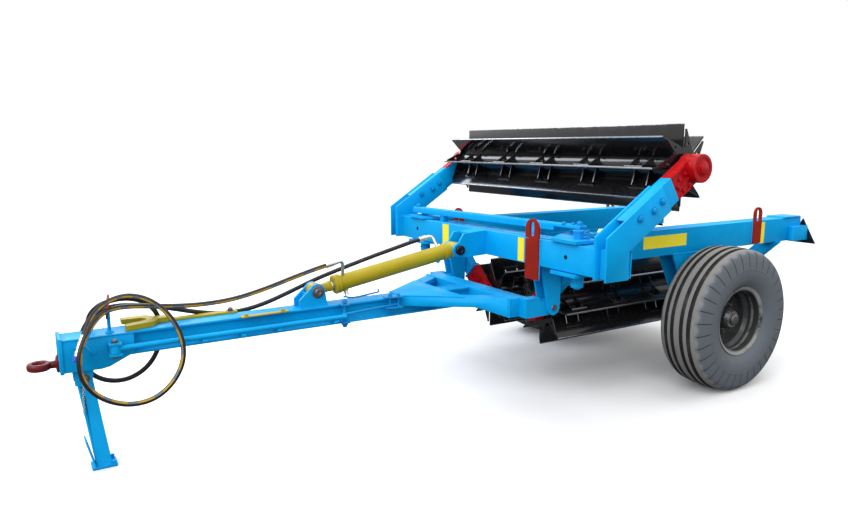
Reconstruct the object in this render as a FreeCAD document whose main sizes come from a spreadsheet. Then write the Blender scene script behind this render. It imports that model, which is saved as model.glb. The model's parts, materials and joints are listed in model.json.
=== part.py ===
import FreeCAD, Part
import math
import os
import re
import Sketcher
from FreeCAD import Rotation, Vector

# Trailed three-section knife roller, folded for the road and standing on its two wheels
# and its parking stand. Millimetres; +X towards the tow eye, +Y to the machine's left,
# +Z up, z = 0 on the ground, x = 0 half-way along the machine.

SIZES = {
    # wheels, 12.5/80-15.3 on a 9.00x15.3 rim
    "tyre_diameter": (889, "over the tread"),
    "tyre_width": (307, "section width"),
    "tread_width": (216, "flat of the tread"),
    "shoulder_width": (286, "over the shoulders"), "shoulder_drop": (34, "tread to shoulder"),
    "carcass": (22, "side wall"), "tread_depth": (44, "tread and carcass"),
    "rim_diameter": (389, "bead seat"),
    "rim_width": (229, "between the flanges"),
    "rim_flange": (18, "flange height above the bead seat"),
    "rim_wall": (7, "plate of the rim"),
    "disc_offset": (30, "wheel disc, inboard of the rim's middle"),
    "hub_radius": (70, ""), "hub_flange_radius": (118, ""), "hub_reach": (95, "hub, outboard of the disc"),
    "axle_x": (-1330, "wheel axles"), "track_half": (835, "wheel middle from the centre line"),
    "stub_radius": (32, "stub axle"),
    # crossbeam
    "crossbeam_x": (-135, ""), "crossbeam_depth": (150, ""), "crossbeam_height": (150, ""),
    "crossbeam_bottom": (844, ""), "tube_wall": (8, "wall of the box tubes"),
    # hinge between the drawbar and the centre frame
    "hinge_x": (-200, ""), "hinge_z": (585, ""), "hinge_y": (480, "middle of each fork"),
    "fork_width": (60, ""), "fork_radius": (48, ""), "lug_plate": (16, ""), "lug_gap": (2, "fork to lug"),
    "hinge_pin_radius": (20, ""), "running_gap": (0.5, "radial, pins and shafts in their bores"),
    "lug_rear": (-255, "rear edge of the lugs at the crossbeam"), "lug_front": (-95, ""),
    # wing hinges
    "pivot_y": (775, "wing pins"), "pivot_radius": (30, ""), "wing_gap": (5, "wing plates to the crossbeam"),
    "wing_plate": (16, "wing hinge plates"), "hinge_plate_front": (95, "ahead of the pin"),
    "hinge_plate_side": (80, "outboard of the pin"), "boss_radius": (34, ""),
    "boss_height": (66, "under the lower plate"), "pin_head": (26, "radius"), "pin_head_height": (11, ""),
    # wing beams
    "wing_width": (120, ""), "wing_inset": (180, "wing pin to the middle of its beam"),
    "wing_front": (-240, ""), "wing_rear": (-2390, ""),
    # rollers
    "roller_length": (1990, "centre knives, end to end"), "side_roller_length": (1770, ""),
    "drum_radius": (84, ""), "drum_wall": (8, ""),
    "knife_tip": (233.5, "radius at the knife tips"), "knife_plate": (10, ""), "knife_count": (8, ""),
    "shaft_radius": (25, ""), "end_plate": (12, "drum end plates"), "end_plate_radius": (110, ""),
    "centre_roller_x": (-661, ""), "centre_roller_z": (1383, ""),
    "side_roller_y": (260, ""), "side_roller_z": (515, ""), "side_roller_front": (-325, "front end of the knives"),
    # arms of the centre roller
    "arm_inner": ("=roller_length / 2 + 5", "inner face of the inner arm plate"), "arm_gap": (65, "between the two arm plates"),
    "arm_plate": (12, ""), "arm_front": (-20, ""), "arm_rear": (-180, ""), "arm_bottom": (840, ""),
    "arm_slant": (32.8, "degrees"), "arm_width": (150, ""), "arm_end": (272, "end of the plates from the roller axis"),
    "backing_plate": (8, "arm plate behind the housing"), "backing_end": (62, "its end, from the roller axis"),
    "inner_arm_width": (136, ""), "inner_arm_end": (560, "lower end, from the roller axis"),
    # bearing housings
    "housing_seat": (190, "bolting face from the roller axis"), "flange_plate": (12, ""),
    "housing_base": (26, ""), "housing_width": (136, ""), "boss": (75, "housing boss radius"),
    "boss_reach": (21, "centre bosses, outboard of the arms"),
    "base_step": (38, "face of the centre housings' bases, inboard of the bosses' faces"),
    "side_housing": (55, "side housings, along their shafts"),
    "side_step": (15, "their bases, inboard of their bosses' faces"), "side_gap": (10, "knife ends to the side housings"),
    "hanger_slant": (43.5, "degrees"), "hanger_width": (90, ""),
    # wheel brackets under the wings
    "bracket_plate": (12, ""), "bracket_top": (285, "half length under the beam"), "bracket_foot": (60, ""),
    "bracket_drop": (45, "below the axle"),
    # cylinder
    "rear_pin_x": (138, ""), "rear_pin_z": (886, ""), "front_pin_x": (1045, ""), "front_pin_z": (730, ""),
    "barrel_radius": (45, ""), "rod_radius": (22, ""), "rod_neck": (27, "radius behind the rod's eye"),
    "neck_length": (92, "back from the eye's pin"), "cylinder_pin": (20, ""), "eye_radius": (42, ""),
    "eye_width": (50, "rod eye"), "ear_gap": (4, "eye to each ear"), "ear_plate": (16, ""),
    "barrel_eye": ("=2 * barrel_radius - 6", "width of the barrel's eye"), "barrel_start": (62, "barrel from its pin"),
    "barrel_length": (712, ""), "gland_radius": (50, ""), "gland_length": (34, ""),
    # drawbar
    "beam_bottom": (540, ""), "beam_height": (110, ""), "beam_width": (120, ""), "beam_flange": (12, ""),
    "beam_web": (84, "width of the closed web"), "head_x": (2280, "rear face of the front plate"),
    "head_plate": (16, ""), "head_half": (80, ""), "head_bottom": (495, ""), "head_top": (660, ""),
    "cross_rear": (-60, "rear face of the A-frame's cross member"), "cross_depth": (120, ""),
    "fork_front": (-10, "front face of the forks' roots"),
    "apex_x": (560, "where the A-frame's diagonals meet the beam"), "diagonal_width": (85, ""),
    "diagonal_height": (55, ""), "diagonal_end": (435, "outer edge at the cross member"),
    "gusset_front": (200, "front end of the gussets under the diagonals"),
    "apex_plate": (8, ""), "apex_plate_rear": (250, ""),
    "side_plate": (12, "side plates of the head"),
    # tow eye
    "eye_x": (2375, "centre of the tow eye"), "eye_z": (530, ""), "eye_bore": (25, "radius"),
    "eye_outer": (50, "radius"), "eye_thick": (34, ""), "shank": (38, "square of the shank"),
    # parking stand
    "stand_x": (2200, "stand hinge"), "stand_z": (455, ""), "stand_rake": (7, "degrees"),
    "leg_width": (68, ""), "leg_pin": (12, ""), "cheek_plate": (10, ""), "cheek_gap": (2, ""),
    "foot_length": (110, ""), "foot_width": (90, ""), "foot_plate": (12, ""), "shoe_height": (140, "plate up the front of the leg"),
    # draft rods stowed along the drawbar
    "draft_y": (105, ""), "draft_z": (590, ""), "draft_radius": (13, ""), "draft_rear": (910, ""),
    "draft_pin_x": (2068, ""), "draft_pin": (10, ""),
    # small pieces
    "lug_width": (112, "lifting lugs"), "wing_lug_width": (84, ""), "lug_thick": (12, ""), "lug_slot": (17, "half width"),
    "front_lug_y": (500, ""), "front_lug_bottom": (762, ""), "front_lug_top": (1102, ""),
    "rear_lug_y": (-470, ""), "rear_lug_top": (1082, ""), "wing_lug_x": (-1869, ""), "wing_lug_top": (1092, ""),
    "tie_near_x": (-240, ""), "tie_near_y": (700, ""), "tie_far_x": (-85, ""), "tie_far_y": (-820, ""),
    "tie_width": (60, ""), "tie_height": (40, ""), "tie_bottom": ("=crossbeam_bottom + crossbeam_height + 38", ""),
    "tie_flat": (190, "flat end of the tie"), "tie_strap": (18, "its thickness there"),
    "tie_post": (40, "across the machine"), "tie_near_post_y": (335, ""), "tie_far_post_y": (-520, ""),
    "reflector_side": (200, ""), "reflector_plate": (8, ""),
    "hose_radius": (12, ""), "post_x": (2078, "hose post"), "post_y": (30, ""), "post_radius": (8, ""), "elbow_radius": (9, ""),
    "post_height": (102, "hose post above the beam"),
    "coupler_length": (58, "quick coupler"), "coupler_radius": (14, ""), "cap_length": (20, "dust cap"),
}

doc = FreeCAD.newDocument("knife_roller")
sheet = doc.addObject("Spreadsheet::Sheet", "dims")
for row, (alias, (value, note)) in enumerate(SIZES.items(), start=1):
    sheet.set("A%d" % row, alias)
    sheet.set("B%d" % row, str(value))
    sheet.set("C%d" % row, note)
    sheet.setAlias("B%d" % row, alias)
doc.recompute()

ALIAS = re.compile(r"\b(" + "|".join(SIZES) + r")\b")
SKETCH_PLANES = {"x": "YZ_Plane", "y": "XZ_Plane", "z": "XY_Plane"}
TURNS = {"x": Rotation(Vector(0, 1, 0), 90), "y": Rotation(Vector(1, 0, 0), -90), "z": Rotation()}
pieces = []

# ---- helpers: every size and place is a formula in the sheet's names ----------------------


def formula(text):
    return ALIAS.sub(r"dims.\1", str(text))


def bind(obj, prop, text):
    obj.setExpression(prop, formula(text))


def value(text):
    """The present value of a formula, to start a sketch near its solution."""
    return float(sheet.evalExpression(formula(text)))


def place(obj, x, y, z):
    for axis, text in zip("xyz", (x, y, z)):
        bind(obj, "Placement.Base." + axis, text)


def block(label, x, y, z):
    """A box between the two ends of each span."""
    obj = doc.addObject("Part::Box", label)
    for prop, (low, high) in zip(("Length", "Width", "Height"), (x, y, z)):
        bind(obj, prop, "(%s) - (%s)" % (high, low))
    place(obj, x[0], y[0], z[0])
    return obj


def rod(label, axis, centre, span, radius):
    """A cylinder along one axis; centre gives the other two coordinates in order."""
    obj = doc.addObject("Part::Cylinder", label)
    obj.Placement.Rotation = TURNS[axis]
    bind(obj, "Radius", radius)
    bind(obj, "Height", "(%s) - (%s)" % (span[1], span[0]))
    where = list(centre)
    where.insert("xyz".index(axis), span[0])
    place(obj, *where)
    return obj


def draw(body, axis, outline):
    """A closed outline across the axis, each corner tied to the sheet."""
    sketch = body.newObject("Sketcher::SketchObject", body.Name + "_outline")
    plane = [o for o in body.Origin.OriginFeatures if o.Role == SKETCH_PLANES[axis]][0]
    sketch.AttachmentSupport = (plane, [""])
    sketch.MapMode = "FlatFace"
    corners = [Vector(value(a), value(b), 0) for a, b in outline]
    count = len(corners)
    for i in range(count):
        sketch.addGeometry(Part.LineSegment(corners[i], corners[(i + 1) % count]))
    for i in range(count):
        sketch.addConstraint(Sketcher.Constraint("Coincident", i, 2, (i + 1) % count, 1))
    for i, pair in enumerate(outline):
        for kind, text, at in zip(("DistanceX", "DistanceY"), pair, corners[i]):
            index = sketch.addConstraint(Sketcher.Constraint(kind, -1, 1, i, 1, at))
            bind(sketch, "Constraints[%d]" % index, text)
    return sketch


def plate(label, axis, outline, span):
    """A flat plate of an outline, between two planes across the axis."""
    body = doc.addObject("PartDesign::Body", label)
    sketch = draw(body, axis, outline)
    # the XZ plane faces -Y, so its offset counts backwards
    bind(sketch, "AttachmentOffset.Base.z", "-(%s)" % span[1] if axis == "y" else span[0])
    pad = body.newObject("PartDesign::Pad", label + "_pad")
    pad.Profile = sketch
    bind(pad, "Length", "(%s) - (%s)" % (span[1], span[0]))
    return body


def turned(label, axis, profile):
    """A turned piece about a line through the origin; profile is (along, radius)."""
    body = doc.addObject("PartDesign::Body", label)
    sketch = draw(body, {"x": "y", "y": "x"}[axis], profile)
    turn = body.newObject("PartDesign::Revolution", label + "_turn")
    turn.Profile = sketch
    turn.ReferenceAxis = (sketch, ["H_Axis"])
    turn.Angle = 360
    return body


def fuse(label, *shapes):
    obj = doc.addObject("Part::MultiFuse", label)
    obj.Shapes = list(shapes)
    obj.Refine = True
    return obj


def cut(label, base, *tools):
    obj = doc.addObject("Part::Cut", label)
    obj.Base = base
    obj.Tool = tools[0] if len(tools) == 1 else fuse(label + "_tools", *tools)
    obj.Refine = True
    return obj


def group(label, *solids):
    """Like pieces that don't touch, in one named piece."""
    obj = doc.addObject("Part::Compound", label)
    obj.Links = list(solids)
    return obj


def mirror(label, source):
    """The same piece on the machine's other side."""
    obj = doc.addObject("Part::Mirroring", label)
    obj.Source = source
    obj.Normal = (0, 1, 0)
    return obj


def keep(obj):
    pieces.append(obj)
    return obj


def tube(label, route, radius):
    """A round tube along straight runs, joined by arcs as large as the runs allow."""
    points = [Vector(*point) for point in route]
    edges, start, radii = [], points[0], []
    for before, corner, after in zip(points, points[1:], points[2:]):
        back, ahead = before - corner, after - corner
        setback = 0.45 * min(back.Length, ahead.Length)
        half_turn = (math.pi - back.getAngle(ahead)) / 2
        bend = setback / math.tan(half_turn)
        back, ahead = back.normalize(), ahead.normalize()
        inward = (back + ahead).normalize()
        entry, leave = corner + back * setback, corner + ahead * setback
        middle = corner + inward * (bend / math.cos(half_turn) - bend)
        edges += [Part.LineSegment(start, entry), Part.Arc(entry, middle, leave)]
        start = leave
        radii.append(round(bend))
    edges.append(Part.LineSegment(start, points[-1]))
    path = Part.Wire([edge.toShape() for edge in edges])
    ring = Part.Wire(Part.Circle(points[0], points[1] - points[0], radius).toShape())
    obj = doc.addObject("Part::Feature", label)
    obj.Shape = path.makePipeShell([ring], True, False)
    full = math.pi * radius ** 2 * path.Length
    print(label, "bend radii", radii, "volume ratio", round(obj.Shape.Volume / full, 5))
    return obj


def both(label, left):
    """A left piece and its mirror image as one named piece of two solids."""
    return keep(group(label, left, mirror(label + "_right", left)))


def turn_to(obj, axis, start_angle, text):
    """Turn a piece about its own origin by a formula in degrees."""
    obj.Placement.Rotation = Rotation(Vector(*axis), start_angle)
    bind(obj, "Placement.Rotation.Angle", text)


# ---- formulas used by several pieces ------------------------------------------------------

CB_REAR, CB_FRONT = "(crossbeam_x - crossbeam_depth / 2)", "(crossbeam_x + crossbeam_depth / 2)"
CB_TOP = "(crossbeam_bottom + crossbeam_height)"
ARM_MOUNT = "(arm_inner + arm_plate)"
ARM_OUTER = "(arm_inner + 2 * arm_plate + arm_gap)"
WING_LOW, WING_TOP = "(crossbeam_bottom - wing_gap)", "(crossbeam_bottom + crossbeam_height + wing_gap)"
WING_Y = "(pivot_y - wing_inset)"
WING_OUT, WING_IN = "(pivot_y - wing_inset + wing_width / 2)", "(pivot_y - wing_inset - wing_width / 2)"
AXLE_Z = "(tyre_diameter / 2)"
BEAM_TOP = "(beam_bottom + beam_height)"
CROSS_FRONT = "(cross_rear + cross_depth)"
FORK_IN, FORK_OUT = "(hinge_y - fork_width / 2)", "(hinge_y + fork_width / 2)"
KNIFE_REAR = "(side_roller_front - side_roller_length)"


# ---- wheels -------------------------------------------------------------------------------

def wheel():
    """A left wheel about its own middle, outboard along +Y: tyre, then rim with hub."""
    seat, outer = "(rim_diameter / 2)", "(tyre_diameter / 2)"
    tyre = turned("left_tyre", "y", [
        ("-rim_width / 2 + 36", seat), ("-rim_width / 2 + 12", seat), ("-rim_width / 2 - 4", seat + " + 24"),
        ("-tyre_width / 2", seat + " + 110"), ("-shoulder_width / 2", outer + " - shoulder_drop"),
        ("-tread_width / 2", outer), ("tread_width / 2", outer),
        ("shoulder_width / 2", outer + " - shoulder_drop"), ("tyre_width / 2", seat + " + 110"),
        ("rim_width / 2 + 4", seat + " + 24"), ("rim_width / 2 - 12", seat), ("rim_width / 2 - 36", seat),
        ("tyre_width / 2 - carcass", seat + " + 95"), ("tread_width / 2", outer + " - tread_depth"),
        ("-tread_width / 2", outer + " - tread_depth"), ("-tyre_width / 2 + carcass", seat + " + 95")])
    doc.recompute()
    soften(tyre, "rim_diameter / 2 + 110", 60)
    soften(tyre, "tyre_diameter / 2 - shoulder_drop", 40)
    soften(tyre, "tyre_diameter / 2", 40)
    half, wall, disc = "(rim_width / 2)", "rim_wall", "(-disc_offset)"
    under = seat + " - 0.3"
    rim = turned("left_rim_shell", "y", [
        ("-" + half + " + 11", under), (half + " - 11", under), (half + " + 1", seat + " + rim_flange"),
        (half + " + 8", seat + " + rim_flange"), (half + " - 6", under + " - rim_wall"),
        ("40", under + " - rim_wall"), ("20", under + " - rim_wall - 18"),
        (disc + " + 10", under + " - rim_wall - 18"),
        (disc + " + 10", "stub_radius + running_gap"), (disc, "stub_radius + running_gap"),
        (disc, under + " - rim_wall - 30"), ("-" + half + " + 40", under + " - rim_wall"),
        ("-" + half + " + 6", under + " - rim_wall"), ("-" + half + " - 8", seat + " + rim_flange"),
        ("-" + half + " - 1", seat + " + rim_flange")])
    hub = turned("left_hub", "y", [
        (disc + " - 70", "stub_radius + running_gap"), (disc + " - 70", "hub_radius"),
        (disc + " - 14", "hub_radius"), (disc + " - 14", "hub_flange_radius"), (disc, "hub_flange_radius"),
        (disc, "stub_radius + running_gap")])
    cap = turned("left_hub_nose", "y", [
        (disc + " + 10", "stub_radius + running_gap"), (disc + " + 10", "hub_radius"),
        (disc + " + hub_reach - 20", "hub_radius - 6"), (disc + " + hub_reach", "hub_radius - 22"),
        (disc + " + hub_reach", "0"), (disc + " + hub_reach - 12", "0"),
        (disc + " + hub_reach - 12", "stub_radius + running_gap")])
    return tyre, fuse("left_rim", rim, hub, cap)


def soften(body, radius, size):
    """Round the circular edges of a turned body that have this radius."""
    feature = body.Tip
    names = ["Edge%d" % (i + 1) for i, e in enumerate(feature.Shape.Edges)
             if hasattr(e.Curve, "Radius") and abs(e.Curve.Radius - value(radius)) < 0.01]
    fillet = body.newObject("PartDesign::Fillet", body.Name + "_round")
    fillet.Base = (feature, names)
    fillet.Radius = size
    doc.recompute()


for part in wheel():
    place(part, "axle_x", "track_half", AXLE_Z)
    keep(part)
    keep(mirror(part.Label.replace("left", "right"), part))


# ---- rollers ------------------------------------------------------------------------------

def roller(name, length, turn):
    """A drum with its stub shafts and the knives around it, about its own middle along Y."""
    half = "(%s / 2)" % length
    reach = half + " + side_gap + side_housing + 12"
    drum = turned(name + "_drum_shell", "y", [
        ("-(%s)" % reach, "0"), ("-(%s)" % reach, "shaft_radius"), ("-" + half, "shaft_radius"),
        ("-" + half, "end_plate_radius"), ("-" + half + " + end_plate", "end_plate_radius"),
        ("-" + half + " + end_plate", "drum_radius"), (half + " - end_plate", "drum_radius"),
        (half + " - end_plate", "end_plate_radius"), (half, "end_plate_radius"), (half, "shaft_radius"),
        (reach, "shaft_radius"), (reach, "0"), (half + " - end_plate", "0"),
        (half + " - end_plate", "drum_radius - drum_wall"),
        ("-" + half + " + end_plate", "drum_radius - drum_wall"), ("-" + half + " + end_plate", "0")])
    holes = []
    for i in range(4):
        angle = "%d" % (90 * i + 22.5)
        mid = "(shaft_radius + drum_radius - drum_wall) / 2"
        holes.append(rod("%s_hole_%d" % (name, i), "y", (mid + " * cos(%s)" % angle, mid + " * sin(%s)" % angle),
                         ("-%s - 5" % half, half + " + 5"), "16"))
    drum = cut(name + "_drum", drum, *holes)
    knives = []
    near = "(drum_radius + 0.3)"
    for i in range(int(value("knife_count"))):
        angle = "(%d * 360 / knife_count)" % i
        knife = doc.addObject("Part::Box", "%s_knife_%d" % (name, i + 1))
        bind(knife, "Length", "knife_tip - %s" % near)
        bind(knife, "Width", "2 * %s - 2 * end_plate - 1" % half)
        bind(knife, "Height", "knife_plate")
        turn_to(knife, (0, 1, 0), 10, angle)
        place(knife, "%s * cos(%s) - knife_plate / 2 * sin(%s)" % (near, angle, angle),
              "-%s + end_plate + 0.5" % half,
              "-%s * sin(%s) - knife_plate / 2 * cos(%s)" % (near, angle, angle))
        knives.append(knife)
    knives = group(name + "_knives", *knives)
    for obj in (drum, knives):
        obj.Placement.Rotation = Rotation(Vector(0, 0, 1), turn)
    return drum, knives


for part in roller("centre", "roller_length", 0):
    place(part, "centre_roller_x", "0", "centre_roller_z")
    keep(part)
for part in roller("left", "side_roller_length", 90):
    place(part, "side_roller_front - side_roller_length / 2", "side_roller_y", "side_roller_z")
    keep(part)
    keep(mirror(part.Label.replace("left", "right"), part))


# ---- centre frame -------------------------------------------------------------------------

def crossbeam():
    span = ("-" + ARM_OUTER + " + arm_plate", ARM_OUTER + " - arm_plate")
    outer = block("crossbeam_outside", (CB_REAR, CB_FRONT), span, ("crossbeam_bottom", CB_TOP))
    inner = block("crossbeam_inside", (CB_REAR + " + tube_wall", CB_FRONT + " - tube_wall"),
                  ("-%s" % ARM_OUTER, ARM_OUTER), ("crossbeam_bottom + tube_wall", CB_TOP + " - tube_wall"))
    sleeves, bores = [], []
    for name, sign in (("left", ""), ("right", "-")):
        at = ("crossbeam_x", sign + "pivot_y")
        sleeves.append(rod(name + "_sleeve", "z", at, ("crossbeam_bottom", CB_TOP), "pivot_radius + 14"))
        bores.append(rod(name + "_sleeve_bore", "z", at, ("crossbeam_bottom - 5", CB_TOP + " + 5"),
                         "pivot_radius + running_gap"))
    return keep(cut("crossbeam", fuse("crossbeam_tube", cut("crossbeam_box", outer, inner), *sleeves), *bores))


def along_arm(distance, across):
    """A point at a distance down the arm from the roller axis, and across it (up is positive)."""
    return ("centre_roller_x + (%s) * cos(arm_slant) + (%s) * sin(arm_slant)" % (distance, across),
            "centre_roller_z - (%s) * sin(arm_slant) + (%s) * cos(arm_slant)" % (distance, across))


def along_arm_at_x(x, across):
    """The point of the same line at a given x."""
    distance = "((%s) - centre_roller_x - (%s) * sin(arm_slant)) / cos(arm_slant)" % (x, across)
    return x, along_arm(distance, across)[1]


def arms():
    outline = [("arm_front", "arm_bottom"), along_arm_at_x("arm_front", "arm_width / 2"),
               along_arm("arm_end", "arm_width / 2"), along_arm("arm_end", "-arm_width / 2"),
               along_arm_at_x("arm_rear", "-arm_width / 2"), ("arm_rear", "arm_bottom")]
    inner = plate("inner_arm_plate", "y", outline, ("arm_inner", ARM_MOUNT))
    window = block("beam_window", (CB_REAR, CB_FRONT), ("arm_inner - 5", ARM_MOUNT + " + 5"),
                   ("crossbeam_bottom", CB_TOP))
    inner = cut("inner_plate_cut", inner, window)
    outer = plate("outer_arm_plate", "y", outline, (ARM_OUTER + " - arm_plate", ARM_OUTER))
    wide = "(arm_width / 2 - 15)"
    tongue = plate("backing_tongue", "y", [along_arm("backing_end", wide), along_arm("arm_end + 5", wide),
                                           along_arm("arm_end + 5", "-" + wide), along_arm("backing_end", "-" + wide)],
                   (ARM_MOUNT + " - backing_plate", ARM_MOUNT))
    left = [fuse("inner_plate_with_tongue", inner, tongue), outer]
    right = [mirror(o.Name + "_right", o) for o in left]
    keep(group("arm_plates", *(left + right)))

    gap = (ARM_MOUNT, ARM_MOUNT + " + arm_gap")
    half = "inner_arm_width / 2"
    start, end = "housing_seat", "inner_arm_end"
    tube = plate("inner_arm_outside", "y", [along_arm(start, half), along_arm(end, half),
                                            along_arm(end, "-" + half), along_arm(start, "-" + half)], gap)
    start, half = start + " + flange_plate", "(%s - tube_wall)" % half
    hollow = plate("inner_arm_inside", "y", [along_arm(start, half), along_arm(end + " + 5", half),
                                             along_arm(end + " + 5", "-" + half), along_arm(start, "-" + half)],
                   (gap[0] + " + tube_wall", gap[1] + " - tube_wall"))
    both("inner_arms", cut("left_inner_arm", tube, hollow))


def housing(name, axis, point, base_span, span):
    """A bearing housing on a roller's shaft, its base thinner than its boss; point places its corners."""
    base = plate(name + "_base", axis, [point("housing_seat", "housing_width / 2"),
                                        point("housing_seat - housing_base", "housing_width / 2"),
                                        point("0", "boss - 6"), point("0", "-(boss - 6)"),
                                        point("housing_seat - housing_base", "-housing_width / 2"),
                                        point("housing_seat", "-housing_width / 2")], base_span)
    centre = point("0", "0")
    body = fuse(name + "_body", base, rod(name + "_boss", axis, centre, span, "boss"))
    return cut(name, body, rod(name + "_bore", axis, centre, ("(%s) - 5" % span[0], "(%s) + 5" % span[1]),
                               "shaft_radius + running_gap"))


def cylinder_bracket():
    ear = "(barrel_eye / 2 + ear_gap)"
    outline = [(CB_FRONT, CB_TOP), ("rear_pin_x - 30", CB_TOP + " - 12"), ("rear_pin_x + 4", "rear_pin_z + eye_radius"),
               ("rear_pin_x + 4", "rear_pin_z - eye_radius"), ("rear_pin_x - 50", "crossbeam_bottom - 6"),
               (CB_FRONT, "crossbeam_bottom")]
    left = fuse("left_bracket_ear", plate("left_bracket_plate", "y", outline, (ear, ear + " + ear_plate")),
                rod("left_bracket_nose", "y", ("rear_pin_x", "rear_pin_z"), (ear, ear + " + ear_plate"), "eye_radius"))
    roof = plate("bracket_roof", "y", [(CB_FRONT, CB_TOP), ("rear_pin_x - 75", CB_TOP + " - 10"),
                                       ("rear_pin_x - 75", CB_TOP + " - 22"), (CB_FRONT, CB_TOP + " - 12")],
                 ("-" + ear, ear))
    pin = fuse("rear_pin", rod("rear_pin_shank", "y", ("rear_pin_x", "rear_pin_z"),
                               ("-(%s + ear_plate + 12)" % ear, ear + " + ear_plate + 12"), "cylinder_pin"),
               rod("rear_pin_head", "y", ("rear_pin_x", "rear_pin_z"), (ear + " + ear_plate", ear + " + ear_plate + 14"),
                   "cylinder_pin + 8"))
    return keep(fuse("cylinder_bracket", left, mirror("right_bracket_ear", left), roof, pin))


def hinge_lugs():
    """Two lugs and a pin each side, under the crossbeam."""
    top = "crossbeam_bottom"
    outline = [("lug_rear", top), ("lug_front", top), ("hinge_x + 66", "hinge_z + 120"),
               ("hinge_x + fork_radius - 4", "hinge_z + 12"), ("hinge_x + fork_radius - 8", "hinge_z - 18"),
               ("hinge_x - fork_radius + 8", "hinge_z - 18"), ("hinge_x - fork_radius + 4", "hinge_z + 12")]
    spans = [(FORK_OUT + " + lug_gap", FORK_OUT + " + lug_gap + lug_plate"),
             (FORK_IN + " - lug_gap - lug_plate", FORK_IN + " - lug_gap")]
    solids = []
    for i, span in enumerate(spans):
        solids.append(plate("hinge_lug_%d" % i, "y", outline, span))
        solids.append(rod("hinge_lug_end_%d" % i, "y", ("hinge_x", "hinge_z"), span, "fork_radius - 4"))
    solids.append(rod("hinge_pin", "y", ("hinge_x", "hinge_z"),
                      (spans[1][0] + " - 8", spans[0][1] + " + 6"), "hinge_pin_radius"))
    return both("hinge_lugs", fuse("left_hinge_lugs", *solids))


def transport_tie():
    """The flat channel that lies across above the crossbeam, on its two posts."""
    run = "sqrt((tie_far_x - tie_near_x)^2 + (tie_far_y - tie_near_y)^2)"
    turn = "atan2(tie_far_y - tie_near_y; tie_far_x - tie_near_x)"
    bar = doc.addObject("Part::Box", "tie_bar")
    bind(bar, "Length", run)
    bind(bar, "Width", "tie_width")
    bind(bar, "Height", "tie_height")
    turn_to(bar, (0, 0, 1), -80, turn)
    place(bar, "tie_near_x + sin(%s) * tie_width / 2" % turn,
          "tie_near_y - cos(%s) * tie_width / 2" % turn, "tie_bottom")
    notch = doc.addObject("Part::Box", "tie_notch")
    bind(notch, "Length", "tie_flat + 5")
    bind(notch, "Width", "tie_width + 10")
    bind(notch, "Height", "tie_height - tie_strap + 5")
    turn_to(notch, (0, 0, 1), -80, turn)
    place(notch, "tie_near_x + sin(%s) * (tie_width / 2 + 5) - 5 * cos(%s)" % (turn, turn),
          "tie_near_y - cos(%s) * (tie_width / 2 + 5) - 5 * sin(%s)" % (turn, turn), "tie_bottom - 5")
    bar = cut("tie_channel", bar, notch)
    near = block("tie_near_post", (CB_REAR + " + 2", CB_REAR + " + 38"),
                 ("tie_near_post_y", "tie_near_post_y + tie_post"), (CB_TOP, "tie_bottom"))
    far = block("tie_far_post", ("crossbeam_x", "crossbeam_x + 40"), ("tie_far_post_y", "tie_far_post_y + tie_post"),
                (CB_TOP, "tie_bottom"))
    return keep(fuse("transport_tie", bar, near, far))


def lifting_lug(label, axis, middle, low, top, face, width="lug_width"):
    """A flat lug with a round head and an upright slot."""
    half, slot = "%s / 2" % width, "lug_slot"
    head = "(%s) - %s" % (top, half)
    if axis == "x":
        spans = lambda a, b: (face, a, b)
    else:
        spans = lambda a, b: (a, face, b)
    body = fuse(label + "_body", block(label + "_shank", *spans((middle + " - " + half, middle + " + " + half), (low, head))),
                rod(label + "_head", axis, (middle, head), face, half))
    longer = ("(%s) - 5" % face[0], "(%s) + 5" % face[1])
    opening = []
    for i, z in enumerate(("(%s) - 32" % top, "(%s) - 82" % top)):
        opening.append(rod("%s_slot_end_%d" % (label, i), axis, (middle, z), longer, slot))
    span_a, span_b = (middle + " - " + slot, middle + " + " + slot), ("(%s) - 82" % top, "(%s) - 32" % top)
    opening.append(block(label + "_slot", *((longer, span_a, span_b) if axis == "x" else (span_a, longer, span_b))))
    return cut(label, body, *opening)


crossbeam()
arms()
both("centre_housings", housing("left_centre_housing", "y", along_arm,
                                (ARM_MOUNT, ARM_OUTER + " + boss_reach - base_step"),
                                (ARM_MOUNT, ARM_OUTER + " + boss_reach")))
cylinder_bracket()
hinge_lugs()
transport_tie()
keep(group("crossbeam_lifting_lugs",
           lifting_lug("front_lifting_lug", "x", "front_lug_y", "front_lug_bottom", "front_lug_top",
                       (CB_FRONT, CB_FRONT + " + lug_thick")),
           lifting_lug("rear_lifting_lug", "x", "rear_lug_y", "crossbeam_bottom + 10", "rear_lug_top",
                       (CB_REAR + " - lug_thick", CB_REAR))))


# ---- wings --------------------------------------------------------------------------------

def along_hanger(distance, across):
    """A point out along a hanger from the side roller's axis, and across it."""
    return ("side_roller_y + (%s) * cos(hanger_slant) - (%s) * sin(hanger_slant)" % (distance, across),
            "side_roller_z + (%s) * sin(hanger_slant) + (%s) * cos(hanger_slant)" % (distance, across))


def hanger(label, top, span):
    """A slanted arm from its bolting flange up to a level underside."""
    def meet(across):
        return along_hanger("(%s - side_roller_z - (%s) * cos(hanger_slant)) / sin(hanger_slant)" % (top, across), across)
    half, flange = "hanger_width / 2", "housing_width / 2"
    return plate(label, "x", [along_hanger("housing_seat", flange), along_hanger("housing_seat + flange_plate", flange),
                              along_hanger("housing_seat + flange_plate", half), meet(half), meet("-(%s)" % half),
                              along_hanger("housing_seat + flange_plate", "-(%s)" % half),
                              along_hanger("housing_seat + flange_plate", "-(%s)" % flange),
                              along_hanger("housing_seat", "-(%s)" % flange)], span)


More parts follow.
